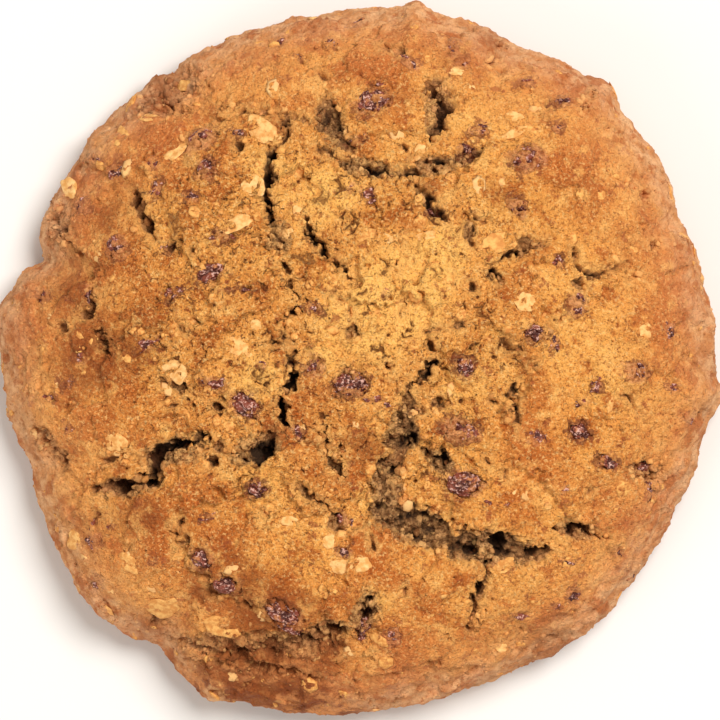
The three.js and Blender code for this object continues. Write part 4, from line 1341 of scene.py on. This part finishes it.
dough.data.materials.append(crust_finish())
dress(dough, "baked_dough")
print("nodes in the crust's finish:", len(dough.data.materials[0].node_tree.nodes))

# %% [markdown]
# ## Raisins
# A raisin is a grape that shrank inside its skin, so the skin lies in folds. A sphere with a
# bump map keeps a round outline. Here each packed raisin is copied, its loose triangles are
# merged, it is subdivided, and its points are moved along their normals by ridged noise, which
# gives sharp creases between round folds. A film of dough clings to it in places.

# %% Wrinkled raisins
RAISIN_LEVELS = 3 if FINE else 2
FOLD = 0.3  # depth of the creases
FOLD_SPACING = 0.9  # across the raisin
FOLD_STRETCH = 2.4  # how much longer a fold is than wide
FINE_FOLD = 0.17  # height of the fine folds against the depth of the creases


def raisin_finish():
    """Maroon skin with painted shade in its creases, pale specks that are partly bloom and partly
    painted highlights, and a film of dough.
    """
    f = Finish("raisin_skin")
    folds, bloom_and_highlights, film = f.noise(1.2, 3, 0.6), f.noise(0.36, 3, 0.7), f.noise(1.5, 4, 0.7)
    colour = f.mix(f.within(folds, 0.42, 0.58), srgb(72, 22, 10), srgb(132, 62, 42))
    # pale pink specks: partly the raisin's bloom, partly painted highlights
    colour = f.mix(f.within(bloom_and_highlights, 0.52, 0.61, 0, 0.85), colour, srgb(232, 182, 164))
    colour = f.mix(f.within(film, 0.56, 0.64, 0, 0.85), colour, srgb(198, 124, 70))
    # painted shade in the creases of the folds
    colour = f.mix(f.within(f.attribute("crease"), 0.6, 0.1, 0, 0.6), colour, srgb(66, 16, 4))
    return f.finish(colour, f.within(bloom_and_highlights, 0.4, 0.7, 0.35, 0.6), f.bump(bloom_and_highlights, 0.2), 0.3)


def wrinkled(piece, fold, spacing, shift, turn=0.0):
    """Folds the skin of a closed piece in ridges that run at an angle of `turn` degrees."""
    mesh = piece.data
    places = read_vectors(mesh.vertices, "co") / MM
    outward = read_vectors(mesh.vertices, "normal")
    c, s = math.cos(math.radians(turn)), math.sin(math.radians(turn))
    along, across = places @ (c, s, 0) / FOLD_STRETCH, places @ (-s, c, 0)
    stretched = np.stack([along, across, places[:, 2]], -1)
    crease = rise(np.abs(lumps(stretched, spacing, 2, shift)), 0, 0.3)
    move = fold * (crease - 1) + FINE_FOLD * fold * lumps(places, spacing / 3, 1, shift)
    folded = (places + outward * move[:, None]) * MM
    mesh.vertices.foreach_set("co", folded.astype(np.float32).ravel())
    keep_attribute(mesh, "crease", crease)
    mesh.update()


raisin_skin = raisin_finish()
for number, name in enumerate(RAISIN_NODES):
    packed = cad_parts[name].data
    piece = bpy.data.objects.new(name.replace("raisin", "sunk_raisin"), packed.copy())
    bpy.context.scene.collection.objects.link(piece)
    merged = bmesh.new()
    merged.from_mesh(piece.data)
    bmesh.ops.remove_doubles(merged, verts=merged.verts, dist=0.001 * MM)
    merged.to_mesh(piece.data)
    merged.free()
    round_off = piece.modifiers.new("round off", "SUBSURF")
    round_off.levels = round_off.render_levels = RAISIN_LEVELS
    applied(piece)
    wrinkled(piece, FOLD, FOLD_SPACING, 3.7 * number, RAISIN_OUTLINES[number][4])
    piece.data.shade_smooth()
    piece.data.materials.clear()
    piece.data.materials.append(raisin_skin)
    dress(piece, name)
print("faces of a raisin:", len(piece.data.polygons))

# %% [markdown]
# ## Scraps of raisin and flakes of oat
# Raisins break as the dough is stirred, and their scraps bake flush into the crust. Oats are
# pressed flat before they go in, so they lie as pale ovals with a crease along the middle. Both
# are few and each lies where it lies, so they are placed one by one: rays from above find the
# crust, and each bit is laid along it and sunk in.

# %% Where the crust is
CRACK_DROP = 0.8  # a spot that lies this much lower is in a crack, and doesn't carry the bit
crust_tree = BVHTree.FromObject(dough, bpy.context.evaluated_depsgraph_get())


def crust_height(x, y):
    """Height of the crust at (x, y), in mm, found by a ray from above."""
    hit, _, _, _ = crust_tree.ray_cast(Vector((x * MM, y * MM, 1)), Vector((0, 0, -1)))
    return hit.z / MM if hit else 0.0


def laid_on_crust(places, x, y, length, width, turn):
    """Moves a bit's points, in mm about its own middle, to lie along the crust at (x, y)."""
    c, s = math.cos(math.radians(turn)), math.sin(math.radians(turn))
    along, across = np.array([c, s]) * length / 2, np.array([-s, c]) * width / 2
    steps = (-0.8, 0, 0.8)
    spots = [np.array([x, y]) + i * along + j * across for i in steps for j in steps]
    heights = np.array([crust_height(*spot) for spot in spots])
    flat = np.c_[np.array(spots) - (x, y), np.ones(len(spots))]
    kept = heights > np.median(heights) - CRACK_DROP
    (rise_x, rise_y, middle), *_ = np.linalg.lstsq(flat[kept], heights[kept], rcond=None)
    up = Vector((-rise_x, -rise_y, 1)).normalized()
    forward = Vector((c, s, rise_x * c + rise_y * s)).normalized()
    axes = np.array([forward, up.cross(forward), up])
    return np.array(places) @ axes + (x, y, middle)


print("crust over the middle:", round(crust_height(0, 0), 2), "mm")

# %% [markdown]
# A scrap is a torn bit of skin and flesh, flatter than a whole raisin. Each starts as a ball
# that is squashed, made ragged and sunk until only its top shows, and it gets the same folds
# and finish as the raisins. All scraps are joined in one piece.

# %% Scraps of raisin
SCRAP_HEIGHT = 0.9  # of which most is sunk
SCRAP_PROUD = 0.1
SCRAP_FINENESS = 3 if FINE else 2
SCRAP_FOLD = 0.16  # depth of the creases
SCRAP_FOLD_SPACING = 0.8


def round_bit(fineness):
    """Points and triangles of a ball 2 across."""
    ball = bmesh.new()
    bmesh.ops.create_icosphere(ball, subdivisions=fineness, radius=1)
    places = np.array([v.co for v in ball.verts])
    triangles = np.array([[v.index for v in face.verts] for face in ball.faces])
    ball.free()
    return places, triangles


ball_places, ball_faces = round_bit(SCRAP_FINENESS + 1)
scrap_places = []
for x, y, length, width, turn in RAISIN_SCRAPS:
    ragged = 1 + 0.6 * lumps(ball_places + (x, y, 0), 0.7, 2)
    bit = ball_places * ragged[:, None] * (length / 2, width / 2, SCRAP_HEIGHT / 2)
    bit = bit + (0, 0, SCRAP_PROUD - SCRAP_HEIGHT / 2)
    scrap_places.append(laid_on_crust(bit, x, y, length, width, turn))
scrap_faces = [ball_faces + i * len(ball_places) for i in range(len(scrap_places))]
scraps = mesh_object(
    "raisin_scraps", np.concatenate(scrap_places), np.concatenate(scrap_faces), raisin_skin
)
wrinkled(scraps, SCRAP_FOLD, SCRAP_FOLD_SPACING, 2.9)
dress(scraps, "baked_dough")
print("scraps:", len(scrap_places), "with", len(scraps.data.polygons), "triangles")

# %% [markdown]
# The palest oats lie open on the crust, and others are glazed golden by the dough. They could be
# scattered by a rule, but so few large ones give the cookie its face, so each has its own row.

# %% Places of the oat flakes that lie open
# [x, y, length, width, turn in degrees, paleness]
OAT_FLAKES = [
    [-11.5, 26.8, 4.4, 2.8, -40, 0.6],
    [-12.4, 20.1, 2.9, 2.6, 0, 1.0],
    [-14.2, 15.8, 4.4, 1.8, 20, 0.8],
    [-21.6, -1.6, 3.2, 2.8, 0, 1.0],
    [-14.2, 1.4, 4, 2, -25, 0.6],
    [-34.2, 20.1, 2.2, 3, 45, 0.9],
    [-2.3, -24.3, 2.8, 1.8, 10, 0.8],
    [0.3, -24.0, 2.0, 1.8, 0, 1],
    [-3.5, -21.4, 1.6, 1.8, 0, 0.9],
    [-8.3, -19.0, 2.2, 1.2, 0, 0.8],
    [-21.6, 24.2, 3.2, 1.6, 40, 0.6],
    [-28.5, -9.7, 2.6, 2.2, 0, 0.5],
    [-33.6, -21.4, 2.8, 2.2, 0, 0.3],
    [-27.3, -24.0, 3.4, 2.2, -30, 0.15],
    [-23.1, -29.3, 4.4, 3.2, 20, 0.1],
    [-16.0, -31.5, 4.6, 2.4, -10, 0.0],
    [18.1, 28.4, 2.2, 1.6, 0, 0.7],
    [18.1, 26.4, 3.4, 1.2, 25, 0.7],
    [19.3, 6.6, 2.8, 2.4, -20, 0.6],
    [33.5, 3.2, 2, 1.8, 0, 0.6],
    [16.7, -34.1, 1.6, 1.2, 0, 0.8],
    [16.9, -24.2, 2.8, 2.0, 30, 0.1],
    [-8.3, 14.7, 1.3, 1.2, 0, 0.9],
    [11.4, 33.7, 2, 1.1, 0, 0.9],
    [7.0, 24.2, 2, 1.5, 50, 0.9],
    [-12.1, 4.0, 1.3, 1.2, 0, 0.8],
    [-27.9, 26.6, 2.2, 3.6, 0, 0.1],
    [16.1, 13.5, 4.4, 2.4, 10, 0.0],
    [-7.1, 17.1, 1.4, 1.6, 0, 0.8],
    [7.8, 14.3, 2.4, 1.2, 10, 0.7],
    [-24.9, 28.4, 3, 1.6, -10, 0.35],
    [6.2, -6.4, 1.4, 1.1, 0, 0.8],
    [-20.8, 32.2, 2.2, 1.4, 10, 0.2],
]
FLAKE_THICKNESS = 0.5
FLAKE_PROUD = 0.18  # of which this much stands proud
FLAKE_DIP = 0.1  # depth of the crease
FLAKE_KEEL = 0.2  # how far the closing point lies below the thickness
FLAKE_SPOKES = 28
FLAKE_RINGS = [0.35, 0.7, 0.93, 1.0]
print("open flakes:", len(OAT_FLAKES))

# %% [markdown]
# A rolled oat is a groat pressed between rollers: a thin oval with a crease along the middle and
# a ragged edge. One flake is built as rings round its middle, with a point below that closes it
# out of sight. A flat disc with a texture would be lighter, but it wouldn't catch the light.


# %% Flakes of oat
def flake_shape(x, y, length, width):
    """Points and triangles of one oat flake: an oval with a crease along it and a ragged edge."""
    angle = 2 * math.pi * np.arange(FLAKE_SPOKES) / FLAKE_SPOKES
    c, s = np.cos(angle), np.sin(angle)
    edge = 1 + 0.4 * lumps(np.stack([c + x, s + y, 0 * angle], -1), 0.9, 2)
    rim = np.stack([length / 2 * edge * c, width / 2 * edge * s], -1)
    flat, level = [np.zeros((1, 2))], [np.zeros(1)]
    for share in FLAKE_RINGS:
        flat.append(share * rim)
        level.append(np.full(FLAKE_SPOKES, -0.9 * FLAKE_PROUD * share**4))
    flat, level = np.concatenate(flat), np.concatenate(level)
    level -= FLAKE_DIP * np.exp(-((flat[:, 1] / (0.12 * width)) ** 2))
    level += 0.06 * lumps(np.c_[flat + (x, y), level], 1.1, 2)
    upper = np.c_[flat, level + FLAKE_PROUD]
    lower = np.array([[0, 0, FLAKE_PROUD - FLAKE_THICKNESS - FLAKE_KEEL]])
    triangles = []
    for j in range(FLAKE_SPOKES):
        after = (j + 1) % FLAKE_SPOKES
        triangles.append([0, 1 + j, 1 + after])
        for ring in range(len(FLAKE_RINGS) - 1):
            inner, outer = 1 + ring * FLAKE_SPOKES, 1 + (ring + 1) * FLAKE_SPOKES
            triangles.append([inner + j, outer + j, outer + after])
            triangles.append([inner + j, outer + after, inner + after])
        triangles.append([len(upper), outer + after, outer + j])
    return np.concatenate([upper, lower]), np.array(triangles)


def flake_finish():
    """Streaked along the flake, from golden to pale."""
    f = Finish("oat_flake")
    streaks, sandy = f.noise(0.7, 3, 0.6), f.noise(0.3, 2, 0.6)
    golden = f.mix(f.within(streaks, 0.35, 0.65), srgb(208, 136, 66), srgb(240, 180, 100))
    pale = f.mix(f.within(streaks, 0.35, 0.65), srgb(224, 160, 86), srgb(246, 198, 130))
    colour = f.mix(f.attribute("paleness"), golden, pale)
    colour = f.mix(f.within(sandy, 0.38, 0.25, 0, 0.6), colour, srgb(168, 104, 50))
    return f.finish(colour, 0.75, f.bump(sandy, 0.1, f.bump(streaks, 0.12)), 0.3)


flake_skin = flake_finish()
flake_places, flake_faces, paleness, start = [], [], [], 0
for x, y, length, width, turn, pale in OAT_FLAKES:
    shape, triangles = flake_shape(x, y, length, width)
    flake_places.append(laid_on_crust(shape, x, y, length, width, turn))
    flake_faces.append(triangles + start)
    paleness.append(np.full(len(shape), pale))
    start += len(shape)
flakes = mesh_object(
    "open_flakes", np.concatenate(flake_places), np.concatenate(flake_faces), flake_skin
)
keep_attribute(flakes.data, "paleness", np.concatenate(paleness))
dress(flakes, "baked_dough")
print("triangles of the open flakes:", len(flakes.data.polygons))

# %% [markdown]
# ## Crumbs, grains and small flakes
# Crumbs break off along the lips and in the tears, grains of sugar and bran cover the skin, and
# small bits of oat show all over. There are thousands of each. They could be particles, but
# Geometry Nodes keeps the rule in one tree: points are scattered over the dough where one of
# its attributes allows, and each gets a small ball that is squashed, turned and roughened.


# %% Geometry Nodes helper
class Tree(Wiring):
    """Geometry Nodes under construction: `add` makes a node, fills its inputs, returns its outputs."""

    def __init__(self, name, inputs):
        super().__init__(bpy.data.node_groups.new(name, "GeometryNodeTree"))
        face = self.tree.interface
        face.new_socket("Geometry", in_out="INPUT", socket_type="NodeSocketGeometry")
        for label, kind in inputs:
            face.new_socket(label, in_out="INPUT", socket_type="NodeSocket" + kind)
        face.new_socket("Geometry", in_out="OUTPUT", socket_type="NodeSocketGeometry")
        self.given = self.node("NodeGroupInput").outputs
        self.result = self.node("NodeGroupOutput").inputs[0]

    def add(self, kind, feeds, **settings):
        made = self.node(kind, **settings)
        for key, value in feeds.items():
            self.feed(made.inputs[key], value)
        return made.outputs

    def random(self, low, high, seed):
        """A number for each point or bit."""
        return self.add("FunctionNodeRandomValue", {2: low, 3: high, "Seed": seed}, data_type="FLOAT")[1]

    def times(self, first, second):
        return self.add("ShaderNodeMath", {0: first, 1: second}, operation="MULTIPLY")[0]

    def scaled(self, vector, factor):
        return self.add("ShaderNodeVectorMath", {0: vector, "Scale": factor}, operation="SCALE")[0]


print("a tree is made with:", [name for name in vars(Tree) if not name.startswith("_")])

# %% [markdown]
# Most bits are tiny and few are large, so a bit's size follows a power of an even draw. It sinks
# into the crust by a share of its size and tumbles as far as its kind does. Small noise
# roughens all of them once they are real mesh.

# %% A tree that scatters bits over the crust
SMALL_MOSTLY = 2.5  # the power: the higher, the fewer large bits
ROUGHNESS_SPACING = 0.3 * MM
EACH_WAY = ((0.7, 0.7, 0.7), (1.3, 1.3, 1.3))  # how much one bit's sides differ from the next's


def scatter_tree():
    """The tree, with an input for each thing that differs from one kind of bit to another."""
    t = Tree("scattered bits", [
        ("Where", "String"),
        ("Number per m2", "Float"),
        ("Seed", "Int"),
        ("Smallest", "Float"),
        ("Spread", "Float"),
        ("Length over width", "Float"),
        ("Flatness", "Float"),
        ("Sink", "Float"),
        ("Tumble", "Float"),
        ("Roughness", "Float"),
        ("Finish", "Material"),
    ])
    given = t.given
    where = t.add("GeometryNodeInputNamedAttribute", {"Name": given["Where"]}, data_type="FLOAT")
    density = t.times(given["Number per m2"], where["Attribute"])
    spots = t.add(
        "GeometryNodeDistributePointsOnFaces",
        {"Mesh": given["Geometry"], "Density": density, "Seed": given["Seed"]},
        distribute_method="RANDOM",
    )
    draw = t.random(0.0, 1.0, given["Seed"])
    share = t.add("ShaderNodeMath", {0: draw, 1: SMALL_MOSTLY}, operation="POWER")[0]
    size = t.add(
        "ShaderNodeMath",
        {0: share, 1: given["Spread"], 2: given["Smallest"]},
        operation="MULTIPLY_ADD",
    )[0]
    sink = t.scaled(spots["Normal"], t.times(t.times(size, given["Sink"]), -1.0))
    sunk = t.add("GeometryNodeSetPosition", {"Geometry": spots["Points"], "Offset": sink})[0]
    ball = t.add("GeometryNodeMeshUVSphere", {"Segments": 6, "Rings": 4, "Radius": 0.5})["Mesh"]
    shape = t.add(
        "ShaderNodeCombineXYZ",
        {"X": given["Length over width"], "Y": 1.0, "Z": given["Flatness"]},
    )[0]
    bit = t.add("GeometryNodeTransform", {"Geometry": ball, "Scale": shape})[0]
    each_way = t.add(
        "FunctionNodeRandomValue",
        {0: EACH_WAY[0], 1: EACH_WAY[1], "Seed": 15},
        data_type="FLOAT_VECTOR",
    )[0]
    sizes = t.scaled(each_way, size)
    turn = t.add("ShaderNodeCombineXYZ", {
        "X": t.times(t.random(-1.0, 1.0, 11), given["Tumble"]),
        "Y": t.times(t.random(-1.0, 1.0, 12), given["Tumble"]),
        "Z": t.random(0.0, 2 * math.pi, 13),
    })[0]
    turned = t.add(
        "FunctionNodeRotateRotation",
        {"Rotation": spots["Rotation"], "Rotate By": t.add("FunctionNodeEulerToRotation", {0: turn})[0]},
        rotation_space="LOCAL",
    )[0]
    bits = t.add(
        "GeometryNodeInstanceOnPoints",
        {"Points": sunk, "Instance": bit, "Rotation": turned, "Scale": sizes},
    )[0]
    toned = t.add(
        "GeometryNodeStoreNamedAttribute",
        {"Geometry": bits, "Name": "tone", "Value": t.random(0.0, 1.0, 14)},
        data_type="FLOAT", domain="INSTANCE",
    )[0]
    real = t.add("GeometryNodeRealizeInstances", {"Geometry": toned})[0]
    bumps = t.add("ShaderNodeTexNoise", {"Scale": 1 / ROUGHNESS_SPACING, "Detail": 1.0})["Color"]
    centred = t.add("ShaderNodeVectorMath", {0: bumps, 1: (0.5, 0.5, 0.5)}, operation="SUBTRACT")[0]
    push = t.scaled(centred, given["Roughness"])
    rough = t.add("GeometryNodeSetPosition", {"Geometry": real, "Offset": push})[0]
    smooth = t.add("GeometryNodeSetShadeSmooth", {0: rough, "Shade Smooth": True})[0]
    done = t.add("GeometryNodeSetMaterial", {"Geometry": smooth, "Material": given["Finish"]})[0]
    t.feed(t.result, done)
    return t.tree


def scattered(name, tree, values):
    """A piece of bits scattered over the dough, as a plain mesh."""
    piece = bpy.data.objects.new(name, dough.data)
    bpy.context.scene.collection.objects.link(piece)
    modifier = piece.modifiers.new("scatter", "NODES")
    sockets = {s.name: s.identifier for s in tree.interface.items_tree if s.in_out == "INPUT"}
    modifier.node_group = tree
    for label, value in values.items():
        modifier[sockets[label]] = value
    return applied(piece)


bits_tree = scatter_tree()
print("nodes in the tree:", len(bits_tree.nodes))

# %% [markdown]
# Loose crumbs take the colour of the crust where they lie, a little lighter or darker from one
# to the next, and so do the grains. The small flakes are golden or pale oat. Numbers per square
# metre sound large, but the whole crust is less than a hundredth of one.


# %% Crumbs, grains and small flakes
def bit_finish(name, lift):
    """The crust's own colour, lighter or darker from bit to bit."""
    f = Finish(name)
    p = CrustPatterns(f)
    colour = crust_colour(f, p)
    tone = f.attribute("tone")
    colour = f.mix(f.within(tone, 0.5, 1.0, 0, lift), colour, srgb(252, 198, 124))
    colour = f.mix(f.within(tone, 0.4, 0.0, 0, 0.5), colour, srgb(132, 72, 32))
    return f.finish(colour, 0.85, f.bump(p.grain, 0.12), 0.25)


def small_flake_finish():
    """Golden oat, with the palest bits left uncoated."""
    f = Finish("small_oat")
    streaks = f.noise(0.5, 3, 0.6)
    golden = f.mix(f.within(streaks, 0.35, 0.65), srgb(202, 128, 60), srgb(238, 176, 96))
    colour = f.mix(f.within(f.attribute("tone"), 0.7, 1.0, 0, 0.7), golden, srgb(240, 194, 130))
    return f.finish(colour, 0.75, f.bump(streaks, 0.1), 0.3)


SCATTERS = [
    ("loose_crumbs", bit_finish("loose_crumb", 0.35), {
        "Where": "loose",
        "Number per m2": 2.8e6,
        "Seed": 5,
        "Smallest": 0.22 * MM,
        "Spread": 0.95 * MM,
        "Length over width": 1.25,
        "Flatness": 0.8,
        "Sink": 0.25,
        "Tumble": 3.0,
        "Roughness": 0.8 * MM,
    }),
    ("skin_grains", bit_finish("skin_grain", 0.3), {
        "Where": "open_skin",
        "Number per m2": 0.6e6,
        "Seed": 8,
        "Smallest": 0.2 * MM,
        "Spread": 0.4 * MM,
        "Length over width": 1.2,
        "Flatness": 0.6,
        "Sink": 0.15,
        "Tumble": 0.5,
        "Roughness": 0.4 * MM,
    }),
    ("small_flakes", small_flake_finish(), {
        "Where": "open_skin",
        "Number per m2": 0.03e6,
        "Seed": 21,
        "Smallest": 0.8 * MM,
        "Spread": 1.1 * MM,
        "Length over width": 1.4,
        "Flatness": 0.25,
        "Sink": 0.1,
        "Tumble": 0.15,
        "Roughness": 0.5 * MM,
    }),
]
for name, material, values in SCATTERS:
    piece = scattered(name, bits_tree, {**values, "Finish": material})
    dress(piece, "baked_dough")
    print(name, len(piece.data.polygons), "faces")

# %% [markdown]
# ## The floor
# The floor is a plain pale sheet that the cookie rests on. It isn't part of the object.

# %% Floor
FLOOR_SIZE = 3.0  # metres
bpy.ops.mesh.primitive_plane_add(size=FLOOR_SIZE)
floor = bpy.context.object
floor.name = "floor"
f = Finish("floor_paint")
f.finish(srgb(232, 230, 226), 0.6, f.bump(f.noise(30), 0.05))
floor.data.materials.append(f.material)
print("floor:", FLOOR_SIZE, "m across")

# %% [markdown]
# The dressed cookie's box should hardly differ from the packed one's, as crumbs stand less than
# a millimetre proud.
